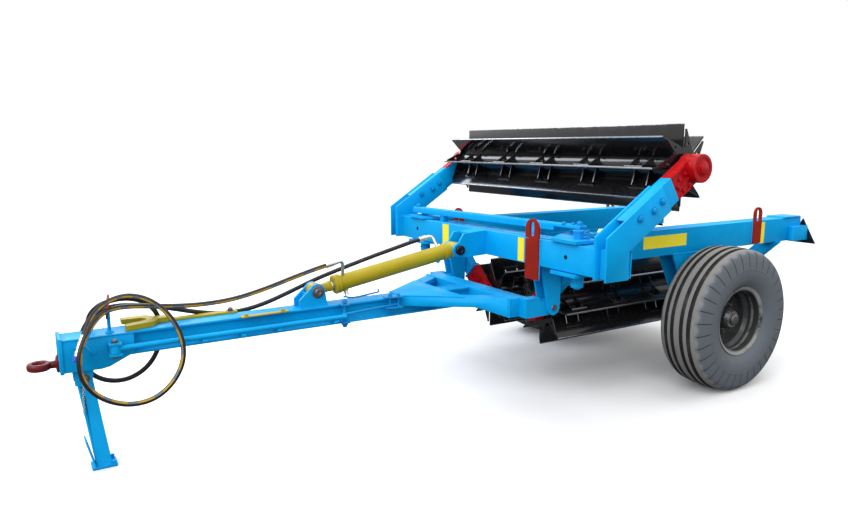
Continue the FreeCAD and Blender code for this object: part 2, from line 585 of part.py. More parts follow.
def wing():
    beam = cut("left_beam_tube",
               block("left_beam_outside", ("wing_rear", "wing_front"), (WING_IN, WING_OUT), (WING_LOW, WING_TOP)),
               block("left_beam_inside", ("wing_rear + tube_wall", "wing_front - tube_wall"),
                     (WING_IN + " + tube_wall", WING_OUT + " - tube_wall"),
                     (WING_LOW + " + tube_wall", WING_TOP + " - tube_wall")))
    pad = block("left_beam_pad", ("wing_rear + 20", "wing_rear + 210"), (WING_IN + " - 10", WING_OUT + " + 10"),
                (WING_TOP, WING_TOP + " + 10"))
    parts = [fuse("left_wing_beam", beam, pad)]

    x, y = "crossbeam_x", "pivot_y"
    rear_x = "(wing_front - 160)"
    outline = [(x + " + hinge_plate_front", y + " + hinge_plate_side"), (x + " - 52", y + " + hinge_plate_side"),
               ("wing_front - 20", WING_OUT), (rear_x, WING_OUT), (rear_x, WING_IN), ("wing_front", WING_IN),
               (x + " + hinge_plate_front", y + " - 110")]
    upper = plate("left_upper_hinge_plate", "z", outline, (WING_TOP, WING_TOP + " + wing_plate"))
    lower = plate("left_lower_hinge_plate", "z", outline, (WING_LOW + " - wing_plate", WING_LOW))
    below = rod("left_hinge_boss", "z", (x, y), (WING_LOW + " - wing_plate - boss_height", WING_LOW), "boss_radius")
    pin = rod("left_hinge_pin_shank", "z", (x, y), (WING_LOW + " - wing_plate", WING_TOP + " + wing_plate"),
              "pivot_radius")
    head = rod("left_hinge_pin_head", "z", (x, y), (WING_TOP, WING_TOP + " + wing_plate + pin_head_height"), "pin_head")
    parts.append(fuse("left_wing_hinge", upper, lower, below, pin, head))

    front = ("side_roller_front + side_gap", "side_roller_front + side_gap + side_housing")
    rear = (KNIFE_REAR + " - side_gap - side_housing", KNIFE_REAR + " - side_gap")
    parts.append(group("left_roller_hangers", hanger("left_front_hanger", "(%s - wing_plate)" % WING_LOW, front),
                       hanger("left_rear_hanger", WING_LOW, rear)))
    parts.append(group("left_roller_housings",
                       housing("left_front_housing", "x", along_hanger, (front[0], front[1] + " - side_step"), front),
                       housing("left_rear_housing", "x", along_hanger, (rear[0] + " + side_step", rear[1]), rear)))

    gusset = [("axle_x - bracket_top", WING_LOW), ("axle_x + bracket_top", WING_LOW),
              ("axle_x + bracket_foot", AXLE_Z + " - bracket_drop"),
              ("axle_x - bracket_foot", AXLE_Z + " - bracket_drop")]
    parts.append(fuse("left_axle_bracket",
                      plate("left_outer_gusset", "y", gusset, (WING_OUT + " - bracket_plate", WING_OUT)),
                      plate("left_inner_gusset", "y", gusset, (WING_IN, WING_IN + " + bracket_plate")),
                      rod("left_stub_axle", "y", ("axle_x", AXLE_Z),
                          (WING_IN, "track_half - disc_offset + hub_reach - 14"), "stub_radius")))
    parts.append(lifting_lug("left_wing_lug", "y", "wing_lug_x", WING_LOW + " + 10", "wing_lug_top",
                             (WING_OUT, WING_OUT + " + lug_thick"), "wing_lug_width"))

    end = "(wing_rear - 18)"
    box = block("left_marker_box", (end, "wing_rear + 150"), (WING_OUT, WING_OUT + " + 45"),
                (WING_LOW, WING_LOW + " + 100"))
    carrier = block("left_marker_carrier", (end, "wing_rear"), (WING_Y + " + 20", WING_OUT + " + 45"),
                    (WING_LOW, WING_LOW + " + 100"))
    tri_y, tri_z = "(%s + 5)" % WING_OUT, "(%s - 25)" % WING_LOW
    triangle = plate("left_reflector_plate", "x", [(tri_y + " - reflector_side / 2", tri_z),
                                                   (tri_y + " + reflector_side / 2", tri_z),
                                                   (tri_y, tri_z + " + reflector_side * 0.866")],
                     (end + " - reflector_plate", end))
    parts.append(fuse("left_marker_bracket", box, carrier))
    triangle.Label = "left_reflector"
    parts.append(triangle)
    return parts


for part in wing():
    keep(part)
    keep(mirror(part.Label.replace("left", "right"), part))


# ---- cylinder, along +X from its rear pin --------------------------------------------------

def cylinder():
    run = "sqrt((front_pin_x - rear_pin_x)^2 + (front_pin_z - rear_pin_z)^2)"
    slope = "atan2(rear_pin_z - front_pin_z; front_pin_x - rear_pin_x)"
    end = "(barrel_start + barrel_length)"
    tube_body = turned("barrel_tube", "x", [
        ("30", "0"), ("30", "barrel_radius"), (end, "barrel_radius"), (end, "gland_radius"),
        (end + " + gland_length", "gland_radius"), (end + " + gland_length", "rod_radius + running_gap"),
        (end, "rod_radius + running_gap"), (end, "barrel_radius - 8"), ("barrel_start + 10", "barrel_radius - 8"),
        ("barrel_start + 10", "0")])
    eye = rod("barrel_eye_boss", "y", ("0", "0"), ("-barrel_eye / 2", "barrel_eye / 2"), "eye_radius")
    barrel = cut("cylinder_barrel", fuse("barrel_body", tube_body, eye),
                 rod("barrel_eye_bore", "y", ("0", "0"), ("-barrel_eye / 2 - 5", "barrel_eye / 2 + 5"),
                     "cylinder_pin + running_gap"))
    neck = run + " - neck_length"
    shaft = turned("cylinder_rod", "x", [("barrel_start + 22", "0"), ("barrel_start + 22", "rod_radius"),
                                         (neck, "rod_radius"), (neck, "0")])
    head = fuse("rod_eye", rod("rod_eye_boss", "y", (run, "0"), ("-eye_width / 2", "eye_width / 2"), "eye_radius"),
                rod("rod_eye_neck", "x", ("0", "0"), (neck, run + " - 20"), "rod_neck"))
    for obj in (barrel, shaft, head):
        turn_to(obj, (0, 1, 0), 10, slope)
        place(obj, "rear_pin_x", "0", "rear_pin_z")
        keep(obj)


cylinder()


# ---- hoses ---------------------------------------------------------------------------------

STRIPED_ROUTE = [
    (955.6, 50, 878), (1040, 51, 862), (1185, 46, 822), (1353, 40, 772), (1512, 42, 741), (1663, 48, 737),
    (1790, 53, 746), (1910, 56, 762), (2006, 58, 773), (2077, 63, 768), (2128, 92, 746), (2166, 132, 708),
    (2200, 162, 660), (2224, 180, 600), (2226, 186, 515), (2192, 187, 437), (2125, 186, 375),
    (2025, 182, 335), (1915, 177, 346), (1826, 170, 415), (1776, 160, 515), (1782, 145, 630),
    (1832, 122, 735), (1903, 94, 800), (1978, 70, 826), (2040, 54, 818), (2090, 50, 796), (2134, 64, 766),
    (2167, 90, 726), (2190, 112, 682), (2208, 124, 638)]
BLACK_ROUTE = [
    (300.6, -66, 957), (385, -67, 942), (500, -71, 912), (666, -84, 868), (847, -98, 815),
    (1000, -103, 770), (1150, -101, 716), (1290, -103, 668), (1410, -102, 645), (1530, -100, 643),
    (1652, -95, 668), (1762, -60, 706), (1850, -14, 738), (1935, 14, 760), (2014, 30, 774), (2076, 15, 768),
    (2124, -19, 739), (2160, -80, 688), (2190, -120, 612), (2199, -145, 525), (2178, -158, 442),
    (2130, -163, 385), (2060, -165, 353), (1980, -164, 353), (1900, -160, 395), (1845, -155, 470),
    (1822, -149, 560), (1826, -132, 645), (1862, -86, 722), (1929, -34, 779), (2003, -12, 799),
    (2067, -17, 791), (2117, -45, 764), (2146, -94, 718), (2158, -132, 656), (2168, -152, 600)]


def hoses():
    """The two lift hoses, looped over the post, with a quick coupler on each free end."""
    radius = value("hose_radius")
    for label, route in (("striped_hose", STRIPED_ROUTE), ("black_hose", BLACK_ROUTE)):
        keep(tube(label, route, radius))
        tail, end = Vector(*route[-2]), Vector(*route[-1])
        way = (end - tail).normalize()
        solids = []
        for start, length, size in (("0", "coupler_length", "coupler_radius"),
                                    ("coupler_length", "cap_length", "coupler_radius - 2")):
            part = Part.makeCylinder(value(size), value(length), end + way * value(start), way)
            solids.append(part)
        coupler = doc.addObject("Part::Feature", label + "_coupler")
        coupler.Shape = solids[0].fuse(solids[1]).removeSplitter()
        coupler.Label = label.replace("hose", "coupler")
        keep(coupler)


def elbows():
    """Steel elbows from the barrel's two ports to its hoses, in the barrel's own frame."""
    slope = "atan2(rear_pin_z - front_pin_z; front_pin_x - rear_pin_x)"
    ports = (("front_elbow", 750, 69.05, 139.8, 56.5), ("rear_elbow", 100, 124.12, 117.7, 47.7))
    bent = []
    for label, along, angle, rise, run in ports:
        up = Vector(0, math.cos(math.radians(angle)), math.sin(math.radians(angle)))
        foot = Vector(along, 0, 0) + up * (value("barrel_radius") + 0.3)
        corner = Vector(along, 0, 0) + up * rise
        end = corner + Vector(run, 0, 0)
        pipe = tube(label + "_pipe", (foot, corner, end), value("elbow_radius"))
        sleeve = Part.makeCylinder(value("elbow_radius") + 3, 26, end - Vector(26, 0, 0), Vector(1, 0, 0))
        elbow = doc.addObject("Part::Feature", label)
        elbow.Shape = pipe.Shape.fuse(sleeve).removeSplitter()
        bent.append(elbow)
    both_elbows = group("cylinder_elbows", *bent)
    turn_to(both_elbows, (0, 1, 0), 10, slope)
    place(both_elbows, "rear_pin_x", "0", "rear_pin_z")
    keep(both_elbows)


hoses()
elbows()


# ---- drawbar ------------------------------------------------------------------------------

def drawbar_beam():
    half, web, flange = "beam_width / 2", "beam_web / 2", "beam_flange"
    section = [("-" + half, "beam_bottom"), (half, "beam_bottom"), (half, "beam_bottom + " + flange),
               (web, "beam_bottom + " + flange), (web, BEAM_TOP + " - " + flange), (half, BEAM_TOP + " - " + flange),
               (half, BEAM_TOP), ("-" + half, BEAM_TOP), ("-" + half, BEAM_TOP + " - " + flange),
               ("-" + web, BEAM_TOP + " - " + flange), ("-" + web, "beam_bottom + " + flange),
               ("-" + half, "beam_bottom + " + flange)]
    outside = plate("beam_outside", "x", section, (CROSS_FRONT, "head_x"))
    inside = block("beam_inside", (CROSS_FRONT + " - 5", "head_x + 5"), ("-" + web + " + tube_wall", web + " - tube_wall"),
                   ("beam_bottom + " + flange, BEAM_TOP + " - " + flange))
    return keep(cut("drawbar_beam", outside, inside))


def a_frame():
    cross = cut("cross_member",
                block("cross_outside", ("cross_rear", CROSS_FRONT), ("-" + FORK_IN, FORK_IN), ("beam_bottom", BEAM_TOP)),
                block("cross_inside", ("cross_rear + tube_wall", CROSS_FRONT + " - tube_wall"),
                      ("-%s + tube_wall" % FORK_IN, FORK_IN + " - tube_wall"),
                      ("beam_bottom + tube_wall", BEAM_TOP + " - tube_wall")))
    keep(cross)
    fork = fuse("left_fork_body", block("left_fork_block", ("hinge_x", "fork_front"), (FORK_IN, FORK_OUT),
                                        ("hinge_z - fork_radius + 4", "hinge_z + fork_radius - 4")),
                rod("left_fork_eye", "y", ("hinge_x", "hinge_z"), (FORK_IN, FORK_OUT), "fork_radius - 4"),
                block("left_fork_root", ("hinge_x + 90", "fork_front"), (FORK_IN, FORK_OUT), ("beam_bottom", BEAM_TOP)))
    both("drawbar_forks", cut("left_fork", fork, rod("left_fork_bore", "y", ("hinge_x", "hinge_z"),
                                                     (FORK_IN + " - 5", FORK_OUT + " + 5"),
                                                     "hinge_pin_radius + running_gap")))
    side_y = "(beam_width / 2)"
    tilt = "atan2(diagonal_end - %s; apex_x - %s)" % (side_y, CROSS_FRONT)

    def strip(low, high, reach):
        """Between two lines parallel to the diagonal's outer edge, past its ends by a reach."""
        far = "(1 + %s)" % reach
        points = []
        for inset, order in ((low, (0, 1)), (high, (1, 0))):
            start = ("(apex_x - (%s) / sin(%s))" % (inset, tilt), side_y)
            stop = (CROSS_FRONT, "(diagonal_end - (%s) / cos(%s))" % (inset, tilt))
            ends = [("%s - %s * (%s - %s)" % (start[0], reach, stop[0], start[0]),
                     "%s - %s * (%s - %s)" % (start[1], reach, stop[1], start[1])),
                    ("%s + %s * (%s - %s)" % (start[0], far, stop[0], start[0]),
                     "%s + %s * (%s - %s)" % (start[1], far, stop[1], start[1]))]
            points += [ends[order[0]], ends[order[1]]]
        return points

    low = "(%s - diagonal_height)" % BEAM_TOP
    outer = plate("left_diagonal_outside", "z", strip("0", "diagonal_width", "0"), (low, BEAM_TOP))
    inner = plate("left_diagonal_inside", "z", strip("tube_wall", "diagonal_width - tube_wall", "0.3"),
                  (low + " + tube_wall", BEAM_TOP + " - tube_wall"))
    gusset = cut("left_diagonal_gusset", plate("left_gusset_strip", "z", strip("0", "side_plate", "0"), ("beam_bottom", low)),
                 plate("left_gusset_slope", "y", [(CROSS_FRONT, "beam_bottom"), (CROSS_FRONT, "beam_bottom - 10"),
                                                  ("apex_x + 10", "beam_bottom - 10"), ("apex_x + 10", low),
                                                  ("gusset_front", low)], ("0", FORK_OUT)))
    both("drawbar_diagonals", fuse("left_diagonal", cut("left_diagonal_tube", outer, inner), gusset))
    slope = "((diagonal_end - %s) / (apex_x - %s))" % (side_y, CROSS_FRONT)
    rear_half = "(%s + %s * (apex_x - apex_plate_rear) - 6)" % (side_y, slope)
    keep(plate("apex_plate", "z", [("apex_x - 8", side_y), ("apex_x - 8", "-" + side_y), ("apex_plate_rear", "-" + rear_half),
                                   ("apex_plate_rear", rear_half)], (BEAM_TOP, BEAM_TOP + " + apex_plate")))


def head():
    front = block("front_plate", ("head_x", "head_x + head_plate"), ("-head_half", "head_half"),
                  ("head_bottom", "head_top"))
    cheek = plate("left_head_plate", "y", [("head_x", BEAM_TOP), ("head_x", "head_bottom + 4"),
                                           ("head_x - 154", "head_bottom"), ("head_x - 189", "head_bottom + 6"),
                                           ("head_x - 300", "head_bottom + 58"), ("head_x - 300", BEAM_TOP)],
                  ("beam_width / 2", "beam_width / 2 + side_plate"))
    keep(fuse("drawbar_head", front, cheek, mirror("right_head_plate", cheek)))

    ring = fuse("tow_eye_body", rod("tow_eye_ring", "z", ("eye_x", "0"),
                                    ("eye_z - eye_thick / 2", "eye_z + eye_thick / 2"), "eye_outer"),
                block("tow_eye_shank", ("head_x + head_plate", "eye_x - eye_bore"), ("-shank / 2", "shank / 2"),
                      ("eye_z - eye_thick / 2", "eye_z + eye_thick / 2")))
    keep(cut("tow_eye", ring, rod("tow_eye_bore", "z", ("eye_x", "0"), ("eye_z - eye_thick", "eye_z + eye_thick"),
                                  "eye_bore")))


def rod_clevis():
    """Two ears for the rod's eye, the plate between them and the pin's two ends."""
    inner = "(eye_width / 2 + ear_gap)"
    outline = [("front_pin_x - 55", BEAM_TOP), ("front_pin_x + 105", BEAM_TOP), ("front_pin_x + 105", BEAM_TOP + " + 42"),
               ("front_pin_x + 22", "front_pin_z + 36"), ("front_pin_x - 42", "front_pin_z")]
    span = (inner, inner + " + ear_plate")
    ear = fuse("left_clevis_ear", plate("left_clevis_plate", "y", outline, span),
               rod("left_clevis_nose", "y", ("front_pin_x", "front_pin_z"), span, "eye_radius"),
               rod("left_pin_end", "y", ("front_pin_x", "front_pin_z"),
                   ("eye_width / 2 + 1", inner + " + ear_plate + 12"), "cylinder_pin"))
    web = block("clevis_web", ("front_pin_x + eye_radius + 8", "front_pin_x + eye_radius + 22"), ("-" + inner, inner),
                (BEAM_TOP + " + 35", BEAM_TOP + " + 75"))
    keep(fuse("rod_clevis", ear, mirror("right_clevis_ear", ear), web))


def draft_gear():
    """The stowed draft rods, their clevises at the head and the rests under them."""
    inner = "(beam_width / 2 + side_plate)"
    tabs = [block("draft_tab_%d" % i, ("draft_pin_x - 28", "draft_pin_x + 28"), (inner, "draft_y + 24"), z)
            for i, z in enumerate((("draft_z - 30", "draft_z - 20"), ("draft_z + 20", "draft_z + 30")))]
    pin = rod("draft_pin_shank", "z", ("draft_pin_x", "draft_y"), ("draft_z - 38", "draft_z + 38"), "draft_pin")
    both("draft_clevises", fuse("left_draft_clevis", pin, *tabs))
    eye = rod("draft_rod_eye", "z", ("draft_pin_x", "draft_y"), ("draft_z - 18", "draft_z + 18"), "draft_pin + 14")
    shaft = rod("draft_rod_shaft", "x", ("draft_y", "draft_z"), ("draft_rear", "draft_pin_x - draft_pin - 6"), "draft_radius")
    bore = rod("draft_rod_bore", "z", ("draft_pin_x", "draft_y"), ("draft_z - 25", "draft_z + 25"),
               "draft_pin + running_gap")
    both("draft_rods", cut("left_draft_rod", fuse("left_draft_rod_body", eye, shaft), bore))
    rests = [block("draft_rest_%d" % i, (x + " - 12", x + " + 12"), ("beam_web / 2", "draft_y + draft_radius"),
                   ("draft_z - draft_radius - 16", "draft_z - draft_radius - 0.3"))
             for i, x in enumerate(("draft_rear + 60", "1286", "1474", "1667"))]
    keep(group("draft_rod_rests", *(rests + [mirror(r.Name + "_right", r) for r in rests])))


def stand():
    """The parking stand, hung on its hinge between two cheeks under the beam."""
    half, gap = "leg_width / 2", "(leg_width / 2 + cheek_gap)"
    cheek = plate("left_stand_cheek", "y", [("stand_x - 48", "beam_bottom"), ("stand_x + 48", "beam_bottom"),
                                            ("stand_x + 40", "stand_z - 30"), ("stand_x - 30", "stand_z - 42")],
                  (gap, gap + " + cheek_plate"))
    pin = rod("stand_pin", "y", ("stand_x", "stand_z"), ("-(%s + cheek_plate + 10)" % gap, gap + " + cheek_plate + 10"),
              "leg_pin")
    keep(fuse("stand_bracket", cheek, mirror("right_stand_cheek", cheek), pin))

    def down(distance, across):
        """A point down the raked leg from its hinge."""
        return ("stand_x - (%s) * sin(stand_rake) + (%s) * cos(stand_rake)" % (distance, across),
                "stand_z - (%s) * cos(stand_rake) - (%s) * sin(stand_rake)" % (distance, across))

    foot_top = "foot_plate"
    reach = "(stand_z - foot_plate - (%s) * sin(stand_rake)) / cos(stand_rake)"
    leg = plate("stand_leg", "y", [down("-32", "-" + half), down("-32", half), down(reach % half, half),
                                   down(reach % ("-" + half), "-" + half)], ("-" + half, half))
    foot_x = "(stand_x - stand_z * tan(stand_rake))"
    foot = block("stand_foot", (foot_x + " - foot_length / 2", foot_x + " + foot_length / 2"),
                 ("-foot_width / 2", "foot_width / 2"), ("0", foot_top))
    shoe = plate("stand_shoe", "y", [down(reach % half + " - shoe_height", half + " + 16"),
                                     down(reach % half + " - shoe_height", half + " + 24"),
                                     down(reach % half, half + " + 8"), down(reach % half, half)],
                 ("-foot_width / 2", "foot_width / 2"))
    keep(cut("parking_stand", fuse("stand_body", leg, foot, shoe),
             rod("stand_bore", "y", ("stand_x", "stand_z"), ("-50", "50"), "leg_pin + running_gap")))


def deck_pieces():
    """What stands and lies on top of the drawbar."""
    keep(rod("hose_post", "z", ("post_x", "post_y"), (BEAM_TOP, BEAM_TOP + " + post_height"), "post_radius"))
    fork = [("1457", "-82"), ("1850", "-82"), ("1885", "-128"), ("2000", "-128"), ("2000", "-98"), ("1905", "-92"),
            ("1880", "-52"), ("1905", "-12"), ("2000", "22"), ("2000", "52"), ("1885", "12"), ("1850", "-42"),
            ("1457", "-42")]
    keep(plate("lock_fork", "z", fork, (BEAM_TOP, BEAM_TOP + " + 12")))


drawbar_beam()
a_frame()
head()
rod_clevis()
draft_gear()
stand()
deck_pieces()


# ---- check and write ----------------------------------------------------------------------

doc.recompute()
for obj in doc.Objects:
    if "Invalid" in obj.State or "Error" in obj.State:
        raise RuntimeError("%s is %s" % (obj.Label, obj.State))
os.makedirs("parts", exist_ok=True)
for obj in pieces:
    if obj.Shape.isNull() or not obj.Shape.isValid():
        raise RuntimeError("%s has no valid shape" % obj.Label)
    obj.Shape.exportStep(os.path.join("parts", obj.Label + ".step"))
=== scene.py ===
import json
import math
import random

import bmesh
import bpy
from mathutils import Matrix, Vector


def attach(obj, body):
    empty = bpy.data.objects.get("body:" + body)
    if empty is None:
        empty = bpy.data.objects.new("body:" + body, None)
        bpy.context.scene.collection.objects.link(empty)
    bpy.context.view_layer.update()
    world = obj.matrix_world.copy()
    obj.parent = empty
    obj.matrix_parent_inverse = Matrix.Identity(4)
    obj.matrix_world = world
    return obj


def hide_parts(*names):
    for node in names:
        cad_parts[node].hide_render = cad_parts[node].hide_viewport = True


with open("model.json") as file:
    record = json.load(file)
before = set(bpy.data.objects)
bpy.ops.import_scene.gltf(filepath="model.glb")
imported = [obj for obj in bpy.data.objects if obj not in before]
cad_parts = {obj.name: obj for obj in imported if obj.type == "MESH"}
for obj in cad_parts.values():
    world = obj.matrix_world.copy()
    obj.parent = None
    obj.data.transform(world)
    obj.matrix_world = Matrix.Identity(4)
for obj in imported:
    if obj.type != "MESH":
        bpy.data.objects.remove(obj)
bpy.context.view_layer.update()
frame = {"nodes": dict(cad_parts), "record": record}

# Looks of the folded, trailed three-section knife roller. Metres, in the frame of the CAD part:
# +X towards the tow eye, +Y to the machine's left, +Z up, the ground at z = 0.

random.seed(12)


def new_object(name, data):
    obj = bpy.data.objects.new(name, data)
    bpy.context.collection.objects.link(obj)
    return obj


# ---- camera -------------------------------------------------------------------------------

CAMERA_AT = Vector((2.4428, 3.44, 1.5047))
CAMERA_YAW, CAMERA_PITCH, CAMERA_ROLL = -2.1173, 0.1718, 0.0023
CAMERA_LENS = 29.29


def make_camera():
    ahead = Vector((math.cos(CAMERA_PITCH) * math.cos(CAMERA_YAW),
                    math.cos(CAMERA_PITCH) * math.sin(CAMERA_YAW), -math.sin(CAMERA_PITCH)))
    turn = ahead.to_track_quat("-Z", "Y").to_matrix().to_4x4()
    camera = new_object("camera", bpy.data.cameras.new("camera"))
    camera.data.lens = CAMERA_LENS
    camera.matrix_world = Matrix.Translation(CAMERA_AT) @ turn @ Matrix.Rotation(-CAMERA_ROLL, 4, "Z")
    bpy.context.scene.camera = camera


make_camera()


# ---- shader nodes -------------------------------------------------------------------------

class Level:
    """A shader output. Arithmetic on it adds nodes to its tree."""

    def __init__(self, socket):
        self.socket, self.tree = socket, socket.id_data

    def math(self, operation, *others, clamp=False):
        given = {"_%d" % place: level for place, level in enumerate((self, *others))}
        return add(self.tree, "Math", {"operation": operation, "use_clamp": clamp}, **given)[0]

    def __add__(self, other):
        return self.math("ADD", other)

    def __sub__(self, other):
        return self.math("SUBTRACT", other)

    def __mul__(self, other):
        return self.math("MULTIPLY", other)

    def __abs__(self):
        return self.math("ABSOLUTE")

    def ramp(self, low, high, out_low=0.0, out_high=1.0):
        """A smooth step between two values of this level."""
        return add(self.tree, "MapRange", {"interpolation_type": "SMOOTHSTEP"}, _0=self, _1=low, _2=high,
                   _3=out_low, _4=out_high)[0]

    def band(self, low, full, fading, gone):
        return self.ramp(low, full) * self.ramp(fading, gone, 1.0, 0.0)

    def off_middle(self):
        """How far each whole turn of this level is from its middle."""
        return abs(self.math("FRACT") - 0.5)

    def blend(self, first, second):
        return add(self.tree, "Mix", {"data_type": "RGBA"}, _0=self, _6=first, _7=second)[2]

    def speckle(self, scale, detail=4.0, roughness=0.55):
        return add(self.tree, "TexNoise", Vector=self, Scale=scale, Detail=detail, Roughness=roughness)[0]

    def split(self):
        parts = add(self.tree, "SeparateXYZ", Vector=self)
        return parts["X"], parts["Y"], parts["Z"]


def feed(given, socket):
    """Links a level to a socket or sets a plain value; a colour may leave out its alpha."""
    if isinstance(given, Level):
        socket.id_data.links.new(given.socket, socket)
    elif socket.type == "RGBA" and len(given) == 3:
        socket.default_value = (*given, 1.0)
    else:
        socket.default_value = given


def add(tree, kind, settings=None, **sockets):
    """A shader node's outputs by number and name; each keyword feeds the input of that name or number."""
    made = tree.nodes.new("ShaderNode" + kind)
    for key, setting in (settings or {}).items():
        setattr(made, key, setting)
    for key, given in sockets.items():
        feed(given, made.inputs[int(key[1:]) if key[0] == "_" else key.replace("_", " ")])
    return {key: Level(socket) for place, socket in enumerate(made.outputs) for key in (place, socket.name)}


def effect(name, inputs, outputs):
    """An empty node group with named inputs and outputs; returns its tree and both ends."""
    tree = bpy.data.node_groups.new(name, "ShaderNodeTree")
    for way, labels in (("INPUT", inputs), ("OUTPUT", outputs)):
        for label, kind in labels.items():
            tree.interface.new_socket(label, in_out=way, socket_type="NodeSocket" + kind)
    enter = {socket.name: Level(socket) for socket in tree.nodes.new("NodeGroupInput").outputs}
    return tree, enter, tree.nodes.new("NodeGroupOutput").inputs


def make_enamel():
    """Sprayed enamel: faded patches, dust on what faces up, small chips and orange peel."""
    tree, enter, leave = effect(
        "enamel_skin",
        {"Where": "Vector", "Paint": "Color", "Faded": "Color", "Dust": "Color",
         "Dustiness": "Float", "Chips": "Float", "Gloss": "Float"},
        {"Colour": "Color", "Roughness": "Float", "Height": "Float"})
    where = enter["Where"]
    broad = where.speckle(2.1, 3.0).ramp(0.38, 0.68)
    blotch = where.speckle(17.0, 5.0, 0.6).ramp(0.42, 0.72)
    painted = (broad * 0.55 + blotch * 0.3).blend(enter["Paint"], enter["Faded"])
    lying = add(tree, "NewGeometry")["Normal"].split()[2].ramp(0.25, 0.95, 0.12, 1.0)
    grit = where.speckle(46.0, 8.0, 0.7).ramp(0.34, 0.74)
    dust = lying * grit * enter["Dustiness"]
    sharp = where.speckle(88.0, 2.0).ramp(0.7, 0.73)
    patches = where.speckle(5.0, 2.0).ramp(0.52, 0.62)
    chip = sharp * patches * enter["Chips"]
    feed(chip.blend(dust.blend(painted, enter["Dust"]), (0.05, 0.04, 0.035)), leave["Colour"])
    feed((blotch * 0.07).math("ADD", dust * 0.45 + enter["Gloss"], clamp=True), leave["Roughness"])
    feed(where.speckle(260.0, 1.0) * 0.22 - chip, leave["Height"])
    return tree


def make_grime():
    """Cloudy dirt with fine grit in it, as a mask and a height."""
    tree, enter, leave = effect("road_grime", {"Where": "Vector", "Scale": "Float", "Cover": "Float"},
                                {"Mask": "Float", "Grit": "Float", "Height": "Float"})
    cloud = enter["Where"].speckle(enter["Scale"], 7.0, 0.62)
    grit = enter["Where"].speckle(420.0, 3.0, 0.7)
    low = enter["Cover"] * -0.55 + 0.78
    feed(cloud.ramp(low, low + 0.22), leave["Mask"])
    feed(grit.ramp(0.35, 0.7), leave["Grit"])
    feed(cloud * 0.5 + grit * 0.5, leave["Height"])
    return tree


ENAMEL, GRIME = make_enamel(), make_grime()
DUST = (0.42, 0.39, 0.34)


# ---- materials ----------------------------------------------------------------------------

def material(name, **shader):
    """A material with its shader's plain values; returns it, the shader's inputs and the place."""
    made = bpy.data.materials.new(name)
    made.use_nodes = True
    skin = made.node_tree.nodes["Principled BSDF"].inputs
    for key, given in shader.items():
        feed(given, skin[key.replace("_", " ")])
    return made, skin, add(made.node_tree, "TexCoord")["Object"]


def finished(made, skin, colour, rough, height, strength, distance):
    """Feeds a material's colour, roughness and bump."""
    feed(colour, skin["Base Color"])
    feed(rough, skin["Roughness"])
    feed(add(made.node_tree, "Bump", Strength=strength, Distance=distance, Height=height)[0], skin["Normal"])
    return made


def sprayed(where, paint, faded, gloss, dustiness, chips):
    return add(where.tree, "Group", {"node_tree": ENAMEL}, Where=where, Paint=paint, Faded=faded, Dust=DUST,
               Dustiness=dustiness, Chips=chips, Gloss=gloss)


def grime(where, scale, cover):
    return add(where.tree, "Group", {"node_tree": GRIME}, Where=where, Scale=scale, Cover=cover)


def offsets(where, centre):
    """How far a place is from a centre along X, Y and Z."""
    return add(where.tree, "Mapping", Vector=where, Location=tuple(-c for c in centre))[0].split()


def across(first, second):
    return (first * first + second * second).math("SQRT")


def enamel(name, paint, faded, gloss, dustiness, chips, specular=0.35):
    made, skin, where = material(name, Specular_IOR_Level=specular)
    out = sprayed(where, paint, faded, gloss, dustiness, chips)
    return finished(made, skin, out["Colour"], out["Roughness"], out["Height"], 0.35, 0.0012)


def bare_metal(name, light, dark, roughness, scale=30.0):
    made, skin, where = material(name, Metallic=1.0)
    out = grime(where, scale, 0.45)
    rough = out["Mask"].ramp(0.0, 1.0, roughness, roughness + 0.3)
    return finished(made, skin, out["Mask"].blend(light, dark), rough, out["Height"], 0.25, 0.0008)


def rubber(name, base, dusty, cover, roughness=0.75, specular=0.3):
    made, skin, where = material(name, Specular_IOR_Level=specular)
    out = grime(where, 9.0, cover)
    share = out["Mask"] * out["Grit"].ramp(0.0, 1.0, 0.72, 1.0)
    rough = share.ramp(0.0, 1.0, roughness - 0.2, roughness + 0.12)
    return finished(made, skin, share.blend(base, dusty), rough, out["Height"], 0.4, 0.001)


SHOULDER_BARS = 34
STRIPES, STRIPE_TURN, STRIPE_DASHES = 2.0, 0.7, 26.0


def side_wall(name, axle, base, dusty):
    """The tyre's side: fine radial bars on the shoulder, sunk and painted darker as shade, a raised ring, and
    dust towards the tread.
    """
    made, skin, where = material(name, Specular_IOR_Level=0.3)
    x, _, z = offsets(where, axle)
    radius = across(x, z)
    beside = (z.math("ARCTAN2", x) * (SHOULDER_BARS / (2 * math.pi))).off_middle()
    bar = beside.ramp(0.03, 0.065, 1.0, 0.0) * radius.band(0.305, 0.345, 0.42, 0.428)
    ring = radius.band(0.318, 0.321, 0.326, 0.329)
    out = grime(where, 14.0, 0.42)
    near_tread = (beside * 0.028 + radius).ramp(0.421, 0.44, 0.0, 0.8)
    share = (out["Mask"] * 0.35).math("MAXIMUM", near_tread) * (bar * -0.7 + 1.0)
    # The bars are painted darker: painted shade in them.
    tone_and_bar_shade = bar.blend(base, tuple(0.35 * c for c in base))
    height = ring * 0.6 - bar + out["Height"] * 0.15
    return finished(made, skin, share.blend(tone_and_bar_shade, dusty), share.ramp(0.0, 1.0, 0.55, 0.85), height, 0.8, 0.003)


